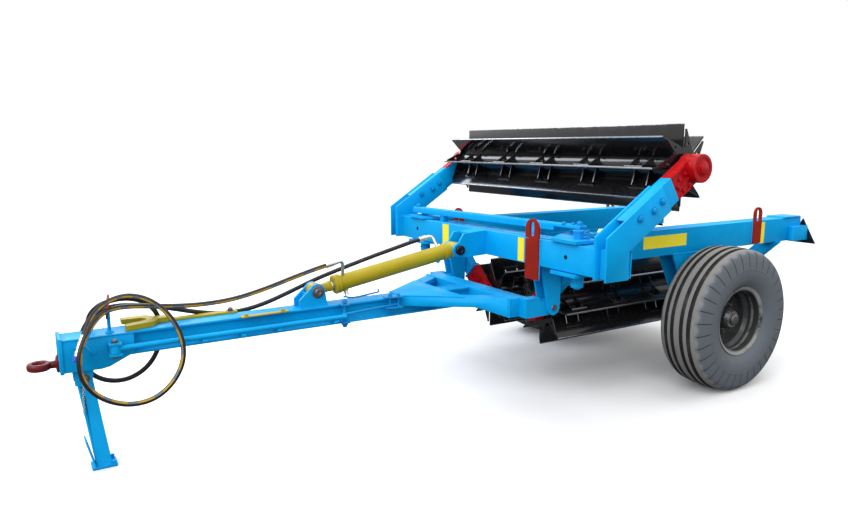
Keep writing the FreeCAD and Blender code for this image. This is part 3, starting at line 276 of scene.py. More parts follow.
def striped_rubber(name):
    """Hose rubber with a printed line that changes between yellow and grey along its length."""
    made, skin, where = material(name, Specular_IOR_Level=0.4)
    along, around, _ = add(made.node_tree, "TexCoord")["UV"].split()
    line = (around * STRIPES + STRIPE_TURN).off_middle().ramp(0.125, 0.145, 1.0, 0.0)
    grey = (along * STRIPE_DASHES).math("FRACT").ramp(0.6, 0.615)
    out = grime(where, 40.0, 0.4)
    printed = grey.blend((0.42, 0.25, 0.02), (0.14, 0.15, 0.16))
    worn = line * out["Mask"].ramp(0.0, 1.0, 1.0, 0.75)
    clean = worn.blend((0.012, 0.012, 0.013), printed)
    rough = out["Mask"].ramp(0.0, 1.0, 0.38, 0.6)
    return finished(made, skin, (out["Mask"] * 0.16).blend(clean, DUST), rough, out["Height"], 0.2, 0.0006)


def knife_steel_and_edge_sheen(name, centre, axis):
    """Black enamel, with a band of bright bare steel along the cutting edges that paints in their highlights."""
    made, skin, where = material(name, Specular_IOR_Level=0.5)
    out = sprayed(where, (0.005, 0.005, 0.0065), (0.012, 0.012, 0.014), 0.14, 0.05, 0.8)
    grain = where.speckle(35.0)
    reach = across(*(part for way, part in zip("xyz", offsets(where, centre)) if way != axis))
    # The bright steel band at the knife tips is a painted edge highlight.
    worn = (grain * 0.008 + reach).ramp(0.232, 0.235)
    feed(worn, skin["Metallic"])
    colour = worn.blend(out["Colour"], grain.blend((0.22, 0.225, 0.24), (0.46, 0.47, 0.5)))
    rough = worn.blend(out["Roughness"], (0.35, 0.35, 0.35))
    return finished(made, skin, colour, rough, out["Height"], 0.35, 0.0012)


def rim_enamel_and_dish_shade(name):
    """Glossy near-black enamel that paints the shade of the dish over the rim's own grey; the grey shows at the
    flange and on one step, patched with road dust.
    """
    made, skin, where = material(name, Specular_IOR_Level=0.5)
    # The near-black base is painted shade in the dish.
    out = sprayed(where, (0.024, 0.026, 0.028), (0.04, 0.042, 0.044), 0.16, 0.08, 0.8)
    x, y, z = offsets(where, (AXLE_X, 0, AXLE_Z))
    flange = across(x, z).ramp(0.191, 0.197)
    share = flange.math("MAXIMUM", abs(y).band(0.893, 0.898, 0.908, 0.914) * 0.7)
    share *= grime(where, 11.0, 0.8)["Mask"]
    colour, rough = share.blend(out["Colour"], (0.24, 0.24, 0.235)), share * 0.45 + out["Roughness"]
    return finished(made, skin, colour, rough, out["Height"], 0.35, 0.0012)


def reflector_material():
    made, skin, where = material("prism_reflector", Specular_IOR_Level=0.7, Coat_Weight=0.8, Coat_Roughness=0.05)
    cells = add(where.tree, "TexVoronoi", {"feature": "DISTANCE_TO_EDGE"}, Vector=where, Scale=130.0)[0]
    facet = cells.ramp(0.0, 0.12)
    colour = facet.blend((0.22, 0.006, 0.006), (0.62, 0.02, 0.014))
    return finished(made, skin, colour, facet.ramp(0.0, 1.0, 0.4, 0.16), facet, 0.5, 0.001)


# Enamels: paint, faded paint, gloss, dustiness, chips, specular.
BLUE = enamel("blue_enamel", (0.0, 0.32, 0.72), (0.001, 0.39, 0.79), 0.36, 0.05, 0.5, 0.1)
BLUE_BOLT = enamel("blue_bolt_enamel", (0.001, 0.24, 0.6), (0.004, 0.32, 0.7), 0.34, 0.08, 1.0, 0.2)
CRIMSON = enamel("crimson_enamel", (0.4, 0.002, 0.005), (0.44, 0.006, 0.01), 0.26, 0.03, 0.6, 0.22)
OXIDE = enamel("red_oxide_enamel", (0.24, 0.012, 0.005), (0.3, 0.02, 0.01), 0.48, 0.04, 0.4, 0.08)
EYE_RED = enamel("dark_red_enamel", (0.11, 0.005, 0.008), (0.17, 0.012, 0.016), 0.28, 0.1, 0.9, 0.25)
YELLOW = enamel("olive_yellow_enamel", (0.37, 0.295, 0.008), (0.45, 0.365, 0.016), 0.36, 0.08, 0.6, 0.2)
BLACK = enamel("black_enamel", (0.005, 0.005, 0.0065), (0.01, 0.01, 0.012), 0.1, 0.03, 0.3, 0.5)
PLATE_YELLOW = enamel("yellow_plate_enamel", (0.86, 0.74, 0.02), (0.9, 0.8, 0.06), 0.28, 0.1, 0.2)
CAP_BLUE = enamel("blue_cap_plastic", (0.01, 0.08, 0.55), (0.02, 0.12, 0.6), 0.3, 0.1, 0.0)
TIE_RED = enamel("red_tie_plastic", (0.36, 0.016, 0.014), (0.45, 0.05, 0.04), 0.42, 0.2, 0.0)
BORDER = enamel("reflector_border_enamel", (0.55, 0.25, 0.2), (0.62, 0.34, 0.28), 0.3, 0.2, 0.2)
REFLECTOR = reflector_material()
# Metals: clean, dull, roughness.
ZINC = bare_metal("zinc_plate", (0.78, 0.78, 0.8), (0.42, 0.41, 0.4), 0.28)
CHROME = bare_metal("chrome_rod", (0.86, 0.86, 0.88), (0.7, 0.7, 0.72), 0.08, 8.0)
DARK_STEEL = bare_metal("dark_pin_steel", (0.2, 0.19, 0.19), (0.07, 0.06, 0.055), 0.42)
# The edge steel is painted highlight on the edges of the knife clamps.
EDGE_HIGHLIGHT_STEEL = bare_metal("edge_highlight_steel", (0.6, 0.61, 0.64), (0.05, 0.05, 0.055), 0.3)
# Rubbers: clean, dusty, dust cover, roughness.
HOSE_BLACK = rubber("hose_rubber", (0.011, 0.011, 0.012), (0.1, 0.1, 0.095), 0.35, 0.55, 0.4)
RIB_RUBBER = rubber("dusty_rib_rubber", (0.17, 0.168, 0.163), (0.255, 0.245, 0.228), 1.0, 0.85)
GROOVE_RUBBER = rubber("groove_rubber", (0.02, 0.022, 0.025), (0.075, 0.072, 0.068), 0.5, 0.85)
HOLE_DARK = rubber("hole_shadow", (0.004, 0.006, 0.01), (0.015, 0.017, 0.02), 0.3)

AXLE_X, TRACK_HALF, AXLE_Z = -1.33, 0.835, 0.4445
CENTRE_HUB, SIDE_HUB_Y, SIDE_HUB_Z = Vector((-0.661, 0, 1.383)), 0.26, 0.515
NODE_LOOKS = {
    "crossbeam_lifting_lugs": OXIDE, "left_wing_lug": OXIDE, "right_wing_lug": OXIDE, "tow_eye": EYE_RED,
    "rod_eye": YELLOW, "left_reflector": BLACK, "right_reflector": BLACK,
    "centre_knives": knife_steel_and_edge_sheen("centre_knife_steel", CENTRE_HUB, "y"),
    "left_knives": knife_steel_and_edge_sheen("left_knife_steel", (0, SIDE_HUB_Y, SIDE_HUB_Z), "x"),
    "right_knives": knife_steel_and_edge_sheen("right_knife_steel", (0, -SIDE_HUB_Y, SIDE_HUB_Z), "x"),
    "left_rim": rim_enamel_and_dish_shade("left_rim_enamel"), "right_rim": rim_enamel_and_dish_shade("right_rim_enamel")}
SLOT_LOOKS = {"blue_paint": BLUE, "red_paint": CRIMSON, "yellow_paint": YELLOW, "drum_paint": BLACK,
              "tyre_rubber": GROOVE_RUBBER, "rim_paint": BLACK, "bright_steel": CHROME,
              "fitting_steel": ZINC, "hose_rubber": HOSE_BLACK, "reflector": BORDER}
ROUNDED_EDGES, KNIFE_EDGES, CREASE_ANGLE = 0.0022, 0.0014, math.radians(33)
FLAT_SIDED = ("beam", "crossbeam", "cross_member", "diagonals", "arm_plates", "inner_arms", "hangers", "knives",
              "transport_tie", "apex_plate", "drawbar_head", "rests", "lock_fork", "marker_bracket",
              "parking_stand")


def round_edges(obj, width, clamp=True):
    edge = obj.modifiers.new("rounded", "BEVEL")
    edge.width, edge.segments, edge.limit_method = width, 2, "ANGLE"
    edge.angle_limit, edge.harden_normals, edge.use_clamp_overlap = math.radians(38), True, clamp


def dress_cad_nodes():
    """Flat-sided nodes get rounded edges; the turned ones get crisp creases."""
    slots = {part["node"]: part["material_slot"] for part in frame["record"]["subparts"]}
    for name, obj in frame["nodes"].items():
        obj.data.materials.clear()
        obj.data.materials.append(NODE_LOOKS.get(name, SLOT_LOOKS[slots[name]]))
        obj.data.polygons.foreach_set("use_smooth", [True] * len(obj.data.polygons))
        weld = obj.modifiers.new("merge", "WELD")
        weld.merge_threshold = 0.00005
        if name.endswith(FLAT_SIDED):
            round_edges(obj, KNIFE_EDGES if name.endswith("knives") else ROUNDED_EDGES, clamp=False)
        else:
            crease = obj.modifiers.new("creases", "EDGE_SPLIT")
            crease.split_angle, crease.use_edge_sharp = CREASE_ANGLE, False


dress_cad_nodes()


# ---- shapes -------------------------------------------------------------------------------

def facing(at, direction, spin=0.0):
    """A frame at a point whose own Z looks in a direction."""
    turn = Vector(direction).to_track_quat("Z", "Y").to_matrix().to_4x4()
    return Matrix.Translation(Vector(at)) @ turn @ Matrix.Rotation(spin, 4, "Z")


def edges_of(verts):
    """The edges at some vertices, once each and always in the same order."""
    return list(dict.fromkeys(edge for vert in verts for edge in vert.link_edges))


def verts_in(geom):
    return [item for item in geom if isinstance(item, bmesh.types.BMVert)]


def drum_shape(bm, at, direction, radius, height, segments=24, top=None, spin=0.0):
    """A closed round or many-sided post from a point along a direction."""
    place = facing(at, direction, spin) @ Matrix.Translation((0, 0, height / 2))
    return bmesh.ops.create_cone(bm, cap_ends=True, segments=segments, radius1=radius, radius2=top or radius,
                                 depth=height, matrix=place)["verts"]


def slab(bm, low, high, sign=1):
    """A box between two corners, given for the left side of the machine."""
    low, high = Vector(low), Vector(high)
    size, middle = high - low, (low + high) / 2
    middle.y *= sign
    bmesh.ops.create_cube(bm, size=1.0, matrix=Matrix.Translation(middle) @ Matrix.Diagonal((*size, 1.0)))


def slanted_slab(bm, at, along, up, size):
    """A box centred at a point, its length along one direction and its height towards another."""
    along = Vector(along).normalized()
    side = Vector(up).cross(along).normalized()
    turn = Matrix((along, side, along.cross(side))).transposed().to_4x4()
    place = Matrix.Translation(Vector(at)) @ turn @ Matrix.Diagonal((*size, 1.0))
    bmesh.ops.create_cube(bm, size=1.0, matrix=place)


def pushed(bm, faces, depth):
    """Pushes flat faces along a vector into a solid."""
    fresh = bmesh.ops.extrude_face_region(bm, geom=faces)["geom"]
    bmesh.ops.translate(bm, vec=Vector(depth), verts=verts_in(fresh))


def extruded(bm, outline, depth):
    pushed(bm, [bm.faces.new([bm.verts.new(Vector(point)) for point in outline])], depth)


def holed(bm, outline, holes, depth):
    """An extruded outline with round holes in it."""
    corners = [bm.verts.new(Vector(point)) for point in outline]
    edges = [bm.edges.new(pair) for pair in zip(corners, corners[1:] + corners[:1])]
    for centre, radius in holes:
        ring = bmesh.ops.create_circle(bm, segments=16, radius=radius, matrix=facing(centre, depth))["verts"]
        edges += edges_of(ring)
    filled = bmesh.ops.triangle_fill(bm, use_beauty=True, edges=edges)["geom"]
    pushed(bm, [item for item in filled if isinstance(item, bmesh.types.BMFace)], depth)


def turned(bm, at, axis, profile, steps=48, closed=False):
    """A profile of (along, radius) turned about an axis through a point."""
    place = facing(at, axis)
    points = [bm.verts.new(place @ Vector((radius, 0, along))) for along, radius in profile]
    edges = [bm.edges.new(pair) for pair in zip(points, points[1:])]
    if closed:
        edges.append(bm.edges.new((points[-1], points[0])))
    bmesh.ops.spin(bm, geom=points + edges, cent=Vector(at), axis=Vector(axis).normalized(),
                   angle=2 * math.pi, steps=steps, use_merge=True)


def bevel(bm, verts, offset, segments):
    bmesh.ops.bevel(bm, geom=edges_of(verts), offset=offset, affect="EDGES", segments=segments, profile=0.5,
                    material=-1)


def bolt(bm, at, direction, across_flats=0.024, washer=True, tail=True):
    """A hexagon head or nut on its washer, with the end of its thread."""
    wide = across_flats
    if washer:
        drum_shape(bm, at, direction, wide * 0.82, wide * 0.12, 20)
    lift = Vector(direction).normalized() * wide * 0.11
    head = drum_shape(bm, Vector(at) + lift, direction, wide * 0.577, wide * 0.5, 6, spin=random.uniform(0, 1))
    bevel(bm, head, wide * 0.05, 1)
    if tail:
        drum_shape(bm, Vector(at) + lift * 5.0, direction, wide * 0.3, wide * 0.22, 12, wide * 0.26)


def weld_bead(bm, start, end, size=0.0045):
    """A run of overlapping beads between two points."""
    start, end = Vector(start), Vector(end)
    count = max(2, int((end - start).length / (size * 1.25)))
    for step in range(count + 1):
        at = start.lerp(end, step / count) + Vector([random.uniform(-0.12, 0.12) * size for _ in range(3)])
        grown = size * random.uniform(0.88, 1.12)
        bmesh.ops.create_icosphere(bm, subdivisions=1, radius=grown, matrix=Matrix.Translation(at))


def mirrored(sign, *points):
    """Points on one side of the machine, given for the left."""
    return [(x, sign * y, z) for x, y, z in points]


def ring_shape(bm, at, axis, radius, wire, steps=28, sides=8, stretch=(1.0, 1.0)):
    """A closed ring of round wire about an axis, stretched in its own plane."""
    section = Matrix.Translation((radius, 0, 0)) @ Matrix.Rotation(math.pi / 2, 4, "X")
    loop = bmesh.ops.create_circle(bm, segments=sides, radius=wire, matrix=section)["verts"]
    before = set(bm.verts) - set(loop)
    bmesh.ops.spin(bm, geom=loop + edges_of(loop), cent=(0, 0, 0), axis=(0, 0, 1), angle=2 * math.pi,
                   steps=steps, use_merge=True)
    fresh = [vert for vert in bm.verts if vert not in before]
    bmesh.ops.transform(bm, matrix=facing(at, axis) @ Matrix.Diagonal((*stretch, 1.0, 1.0)), verts=fresh)


def piece(name, bm, body, looks, edges=0.0, smooth_angle=35.0, merge=True):
    """Finishes a mesh as a named piece on its body."""
    if merge:
        bmesh.ops.remove_doubles(bm, verts=bm.verts, dist=1e-6)
    bmesh.ops.recalc_face_normals(bm, faces=bm.faces)
    mesh = bpy.data.meshes.new(name)
    bm.to_mesh(mesh)
    bm.free()
    for look in (looks if isinstance(looks, list) else [looks]):
        mesh.materials.append(look)
    mesh.shade_smooth()
    mesh.set_sharp_from_angle(angle=math.radians(smooth_angle))
    obj = new_object(name, mesh)
    if edges:
        round_edges(obj, edges)
    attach(obj, body)
    return obj


def wire_piece(name, points, radius, body, look):
    """A bent rod or wire along a few points."""
    line = bpy.data.curves.new(name, "CURVE")
    line.dimensions = "3D"
    line.bevel_depth, line.bevel_resolution, line.resolution_u = 1.0, 4, 8
    line.use_fill_caps = True
    spline = line.splines.new("NURBS")
    spline.points.add(len(points) - 1)
    for point, at in zip(spline.points, points):
        point.co = (*at, 1.0)
        point.radius = radius
    spline.order_u = 3
    spline.use_endpoint_u = True
    line.materials.append(look)
    obj = new_object(name, line)
    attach(obj, body)
    return obj


# ---- hoses --------------------------------------------------------------------------------

HOSE_RADIUS = 0.012
STRIPED_HOSE = [
    (0.9556, 0.05, 0.878), (1.04, 0.051, 0.862), (1.185, 0.046, 0.822), (1.353, 0.04, 0.772),
    (1.512, 0.042, 0.741), (1.663, 0.048, 0.737), (1.79, 0.053, 0.746), (1.91, 0.056, 0.762),
    (2.006, 0.058, 0.773), (2.077, 0.063, 0.768), (2.128, 0.092, 0.746), (2.166, 0.132, 0.708),
    (2.2, 0.162, 0.66), (2.224, 0.18, 0.6), (2.226, 0.186, 0.515), (2.192, 0.187, 0.437),
    (2.125, 0.186, 0.375), (2.025, 0.182, 0.335), (1.915, 0.177, 0.346), (1.826, 0.17, 0.415),
    (1.776, 0.16, 0.515), (1.782, 0.145, 0.63), (1.832, 0.122, 0.735), (1.903, 0.094, 0.8),
    (1.978, 0.07, 0.826), (2.04, 0.054, 0.818), (2.09, 0.05, 0.796), (2.134, 0.064, 0.766),
    (2.167, 0.09, 0.726), (2.19, 0.112, 0.682), (2.208, 0.124, 0.638)]
BLACK_HOSE = [
    (0.3006, -0.066, 0.957), (0.385, -0.067, 0.942), (0.5, -0.071, 0.912), (0.666, -0.084, 0.868),
    (0.847, -0.098, 0.815), (1.0, -0.103, 0.77), (1.15, -0.101, 0.716), (1.29, -0.103, 0.668),
    (1.41, -0.102, 0.645), (1.53, -0.1, 0.643), (1.652, -0.095, 0.668), (1.762, -0.06, 0.706),
    (1.85, -0.014, 0.738), (1.935, 0.014, 0.76), (2.014, 0.03, 0.774), (2.076, 0.015, 0.768),
    (2.124, -0.019, 0.739), (2.16, -0.08, 0.688), (2.19, -0.12, 0.612), (2.199, -0.145, 0.525),
    (2.178, -0.158, 0.442), (2.13, -0.163, 0.385), (2.06, -0.165, 0.353), (1.98, -0.164, 0.353),
    (1.9, -0.16, 0.395), (1.845, -0.155, 0.47), (1.822, -0.149, 0.56), (1.826, -0.132, 0.645),
    (1.862, -0.086, 0.722), (1.929, -0.034, 0.779), (2.003, -0.012, 0.799), (2.067, -0.017, 0.791),
    (2.117, -0.045, 0.764), (2.146, -0.094, 0.718), (2.158, -0.132, 0.656), (2.168, -0.152, 0.6)]


def hose(name, node, route, look):
    obj = wire_piece(name, route, HOSE_RADIUS, "drawbar", look)
    obj.data.resolution_u, obj.data.bevel_resolution = 12, 6
    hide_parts(node)


STRIPED_RUBBER = striped_rubber("striped_hose_rubber")
hose("striped_lift_hose", "striped_hose", STRIPED_HOSE, STRIPED_RUBBER)
hose("black_lift_hose", "black_hose", BLACK_HOSE, HOSE_BLACK)

SLEEVE = [(0.0, 0.0115), (0.0, 0.0157), (0.006, 0.0157), (0.008, 0.0144), (0.014, 0.0144), (0.016, 0.0154),
          (0.022, 0.0154), (0.024, 0.0144), (0.03, 0.0144), (0.032, 0.0154), (0.04, 0.0154), (0.044, 0.0128),
          (0.044, 0.0115)]
DUST_CAP = [(0.0, 0.0), (0.0, 0.0172), (0.003, 0.0178), (0.008, 0.0178), (0.01, 0.015), (0.026, 0.0146),
            (0.029, 0.0125), (0.029, 0.0)]


def hose_ends():
    """Crimped sleeves where the hoses start and end, and the rings and dust caps of their couplers."""
    for label, route in (("striped", STRIPED_HOSE), ("black", BLACK_HOSE)):
        bm = bmesh.new()
        for tip, after in ((route[0], route[1]), (route[-1], route[-2])):
            way = (Vector(after) - Vector(tip)).normalized()
            turned(bm, Vector(tip) - way * 0.001, way, SLEEVE, 24, True)
        piece(label + "_hose_sleeves", bm, "drawbar", ZINC)
        bm = bmesh.new()
        tip = Vector(route[-1])
        way = (tip - Vector(route[-2])).normalized()
        for along, radius in ((0.012, 0.0152), (0.034, 0.0156)):
            turned(bm, tip + way * along, way,
                   [(0.0, 0.0138), (0.0, radius), (0.003, radius + 0.0008), (0.007, radius + 0.0008),
                    (0.01, radius), (0.01, 0.0138)], 24, True)
        drum_shape(bm, tip + way * 0.002, way, 0.0158, 0.008, 6)
        piece(label + "_coupler_rings", bm, "drawbar", ZINC)
        bm = bmesh.new()
        turned(bm, tip + way * 0.054, way, DUST_CAP, 28)
        piece(label + "_dust_cap", bm, "drawbar", CAP_BLUE)


hose_ends()

# ---- wheels -------------------------------------------------------------------------------

TYRE_SIDE = [(0.0785, 0.1945), (0.1025, 0.1945), (0.1185, 0.2185), (0.135, 0.235), (0.146, 0.262), (0.152, 0.295),
             (0.1525, 0.315), (0.15, 0.345), (0.1465, 0.375), (0.141, 0.4), (0.138, 0.41), (0.128, 0.4245),
             (0.112, 0.4345), (0.1, 0.437)]
TREAD_HALF, CROWN_FALL, GROOVE_DEPTH = 0.112, 0.0095, 0.012
GROOVES = [(0.093, 0.067), (0.045, 0.019)]
NUT_RING, NUT_TURN, VALVE_RING, VALVE_TURN = 0.1025, math.radians(20), 0.148, 1.9
GREASE_CAP = [(0, 0), (0, 0.04), (0.003, 0.0405), (0.005, 0.037), (0.014, 0.036), (0.019, 0.031), (0.021, 0.02),
              (0.0215, 0)]
VALVE = [(0, 0), (0, 0.009), (0.006, 0.0075), (0.018, 0.005), (0.036, 0.0045), (0.037, 0.0055), (0.046, 0.0055),
         (0.048, 0.004), (0.048, 0)]
SIDES = (("left", 1), ("right", -1))


def crown(off_middle):
    return AXLE_Z - CROWN_FALL * (off_middle / TREAD_HALF) ** 2


def tyre_profile():
    half = list(TYRE_SIDE)
    for outer, inner in GROOVES:
        half += [(outer, crown(outer)), (outer - 0.003, crown(outer) - GROOVE_DEPTH),
                 (inner + 0.003, crown(inner) - GROOVE_DEPTH), (inner, crown(inner))]
    return half + [(-off_middle, radius) for off_middle, radius in reversed(half)]


def wheel_middle(sign):
    return Vector((AXLE_X, sign * TRACK_HALF, AXLE_Z))


def tyre(label, middle):
    """A ribbed tyre: dusty ribs, dark grooves between them, and the side walls."""
    bm = bmesh.new()
    turned(bm, middle, (0, 1, 0), tyre_profile(), 160, True)
    for face in bm.faces:
        at = face.calc_center_median() - middle
        off_middle, radius = abs(at.y), math.hypot(at.x, at.z)
        if off_middle < 0.122 and radius > crown(off_middle) - 0.0035:
            face.material_index = 0
        else:
            face.material_index = 1 if off_middle < 0.1 and radius > 0.41 else 2
    wall = side_wall(label + "_side_wall_rubber", middle, (0.105, 0.121, 0.14), (0.24, 0.243, 0.242))
    looks = [RIB_RUBBER, GROOVE_RUBBER, wall]
    made = piece(label + "_ribbed_tyre", bm, label + "_wheel", looks, smooth_angle=40)
    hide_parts(label + "_tyre")


def wheel_fittings(label, sign, middle):
    """Wheel nuts, the pressed grease cap and the valve."""
    out, body = Vector((0, sign, 0)), label + "_wheel"
    bm = bmesh.new()
    for step in range(6):
        angle = math.radians(60 * step) + NUT_TURN
        at = middle + Vector((NUT_RING * math.cos(angle), -0.02 * sign, NUT_RING * math.sin(angle)))
        bolt(bm, at, out, 0.027)
    piece(label + "_wheel_nuts", bm, body, DARK_STEEL)
    bm = bmesh.new()
    turned(bm, middle + out * 0.0645, out, GREASE_CAP, 40)
    piece(label + "_grease_cap", bm, body, DARK_STEEL)
    bm = bmesh.new()
    at = middle + Vector((VALVE_RING * math.cos(VALVE_TURN), -0.021 * sign, VALVE_RING * math.sin(VALVE_TURN)))
    turned(bm, at, (-0.1, sign, 0.3), VALVE, 20)
    piece(label + "_tyre_valve", bm, body, HOSE_BLACK)


for label, sign in SIDES:
    tyre(label, wheel_middle(sign))
for label, sign in SIDES:
    wheel_fittings(label, sign, wheel_middle(sign))


# ---- rollers ------------------------------------------------------------------------------

UP, DOWN = (0, 0, 1), (0, 0, -1)
CENTRE_DRUM, SIDE_DRUM, SIDE_DRUM_X = 1.99, 1.77, -1.21
KNIVES, STATION_SHARE = 8, 0.2


def knife_row(bm, half, pitch):
    """The stiffeners and clamps of one knife: X out from the drum, Y along it, Z around it."""
    for station in range(-2, 3):
        y = station * pitch
        for side in (-0.054, 0.046):
            extruded(bm, [(0.082, y + side, 0.004), (0.066, y + side, 0.052), (0.072, y + side, 0.054),
                          (0.15, y + side, 0.011), (0.15, y + side, 0.004)], (0, 0.008, 0))
        slab(bm, (0.125, y - 0.064, 0.0048), (0.166, y + 0.064, 0.0118))
        for side in (-0.032, 0.032):
            bolt(bm, (0.147, y + side, 0.0118), UP, 0.019)
            bolt(bm, (0.147, y + side, -0.005), DOWN, 0.019)
    for end in (-half + 0.0005, half - 0.0085):
        holed(bm, [(0.104, end, 0.0045), (0.094, end, 0.056), (0.1, end, 0.06), (0.205, end, 0.012),
                   (0.205, end, 0.0045)], [((0.126, end, 0.024), 0.009)], (0, 0.008, 0))


def clamp_edge_highlights(bm, _, pitch):
    """Bright steel strips on the edges of the stiffeners and clamps of one knife: painted edge highlights."""
    for station in range(-2, 3):
        y = station * pitch
        for side in (-0.05, 0.05):
            slanted_slab(bm, (0.111, y + side, 0.0327), (0.078, 0, -0.043), (0.043, 0, 0.078),
                         (0.084, 0.0064, 0.0012))
        slab(bm, (0.1656, y - 0.0626, 0.0058), (0.1666, y + 0.0626, 0.0108))


def roller_fittings(label, kind, build, look, edges):
    """One knife's fittings, repeated round the drum; the right roller mirrors the left."""
    length, centre, turn = ((CENTRE_DRUM, CENTRE_HUB, 0) if label == "centre" else
                            (SIDE_DRUM, Vector((SIDE_DRUM_X, SIDE_HUB_Y, SIDE_HUB_Z)), 90))
    bm = bmesh.new()
    build(bm, length / 2, STATION_SHARE * length)
    row = [*bm.verts, *bm.edges, *bm.faces]
    for step in range(1, KNIVES):
        fresh = bmesh.ops.duplicate(bm, geom=row)["geom"]
        bmesh.ops.rotate(bm, cent=(0, 0, 0), verts=verts_in(fresh),
                         matrix=Matrix.Rotation(math.radians(360 / KNIVES * step), 3, "Y"))
    place = Matrix.Translation(centre) @ Matrix.Rotation(math.radians(turn), 4, "Z")
    if label == "right":
        place = Matrix.Scale(-1, 4, (0, 1, 0)) @ place
    bmesh.ops.transform(bm, matrix=place, verts=bm.verts)
    piece(label + kind, bm, label + "_roller", look, edges=edges, smooth_angle=30)


for label in ("centre", "left", "right"):
    roller_fittings(label, "_knife_clamps", knife_row, BLACK, 0.0011)
    # The clamp edge strips are painted highlights.
    roller_fittings(label, "_clamp_edges", clamp_edge_highlights, EDGE_HIGHLIGHT_STEEL, 0)


# ---- bearing housings ---------------------------------------------------------------------

BOSS_RIM = [(0, 0), (0, 0.0745), (0.006, 0.0745), (0.009, 0.072), (0.009, 0.057), (0.004, 0.0545),
            (0.004, 0.04), (0.009, 0.0385), (0.01, 0.036), (0.01, 0)]
HOUSING_BOLTS = ((0.088, 0.024), (0.136, 0.021), (0.166, -0.004), (0.134, -0.05), (0.082, -0.052))
CENTRE_STEP, SIDE_STEP = 0.038, 0.015
CENTRE_FACE, SIDE_FACES = 1.11, ((-0.26, 1), (-2.16, -1))
ARM_SLANT, HANGER_SLANT = math.radians(32.8), math.radians(43.5)
HANGER_SEAT = 0.202


def housing(bm, bolts, face, step, out, along, up):
    """The boss's rim and hexagonal cap, and the ribs and bolts of the base, a step behind the boss's face."""
    turned(bm, face - out * 0.001, out, BOSS_RIM, 56)
    cap = drum_shape(bm, face + out * 0.008, out, 0.034, 0.011, 6, 0.032, spin=0.3)
    bevel(bm, cap, 0.0025, 2)
    base = face - out * step
    middle = base + along * 0.122 - up * 0.015 + out * 0.003
    slanted_slab(bm, middle, along - up * 0.12, up, (0.096, 0.011, 0.012))
    for side in (0.062, -0.062):
        slanted_slab(bm, base + along * 0.132 + up * side + out * 0.002, along, up, (0.108, 0.009, 0.009))
    for a, b in HOUSING_BOLTS:
        bolt(bolts, base + along * a + up * b, out, 0.017)


def centre_housing_details():
    along = Vector((math.cos(ARM_SLANT), 0, -math.sin(ARM_SLANT)))
    up = Vector((math.sin(ARM_SLANT), 0, math.cos(ARM_SLANT)))
    bm, bolts, nuts = bmesh.new(), bmesh.new(), bmesh.new()
    for _, sign in SIDES:
        out = Vector((0, sign, 0))
        housing(bm, bolts, CENTRE_HUB + out * CENTRE_FACE, CENTRE_STEP, out, along, up)
        for x, z in ((-0.394, 1.223), (-0.336, 1.179), (-0.237, 1.143)):
            bolt(nuts, (x, sign * 1.089, z), out, 0.026)
            bolt(nuts, (x, sign * 1.0, z), -out, 0.024)
    piece("centre_housing_covers", bm, "centre_frame", CRIMSON)
    piece("centre_housing_bolts", bolts, "centre_frame", CRIMSON)
    piece("arm_bolts", nuts, "centre_frame", BLUE_BOLT)


def side_housing_details():
    for label, sign in SIDES:
        along = Vector((0, sign * math.cos(HANGER_SLANT), math.sin(HANGER_SLANT)))
        up = Vector((0, -sign * math.sin(HANGER_SLANT), math.cos(HANGER_SLANT)))
        bm, bolts, nuts = bmesh.new(), bmesh.new(), bmesh.new()
        for x, way in SIDE_FACES:
            hub, out = Vector((x, sign * SIDE_HUB_Y, SIDE_HUB_Z)), Vector((way, 0, 0))
            housing(bm, bolts, hub, SIDE_STEP, out, along, up)
            for a in (-0.056, 0.056):
                for back in (0.022, 0.043):
                    bolt(nuts, hub - out * back + along * HANGER_SEAT + up * a, along, 0.017)
        piece(label + "_housing_covers", bm, label + "_wing", CRIMSON)
        piece(label + "_housing_bolts", bolts, label + "_wing", CRIMSON)
        piece(label + "_hanger_nuts", nuts, label + "_wing", BLUE_BOLT)


centre_housing_details()
side_housing_details()


# ---- centre frame trim --------------------------------------------------------------------

CROSSBEAM_FRONT, CROSSBEAM_REAR, CROSSBEAM_TOP, CROSSBEAM_LOW = -0.06, -0.21, 0.994, 0.844
TIE_TOP, HINGE_PIN = 1.072, (-0.2, 0.585)
REAR_PIN, FRONT_PIN = Vector((0.138, 0, 0.886)), Vector((1.045, 0, 0.73))


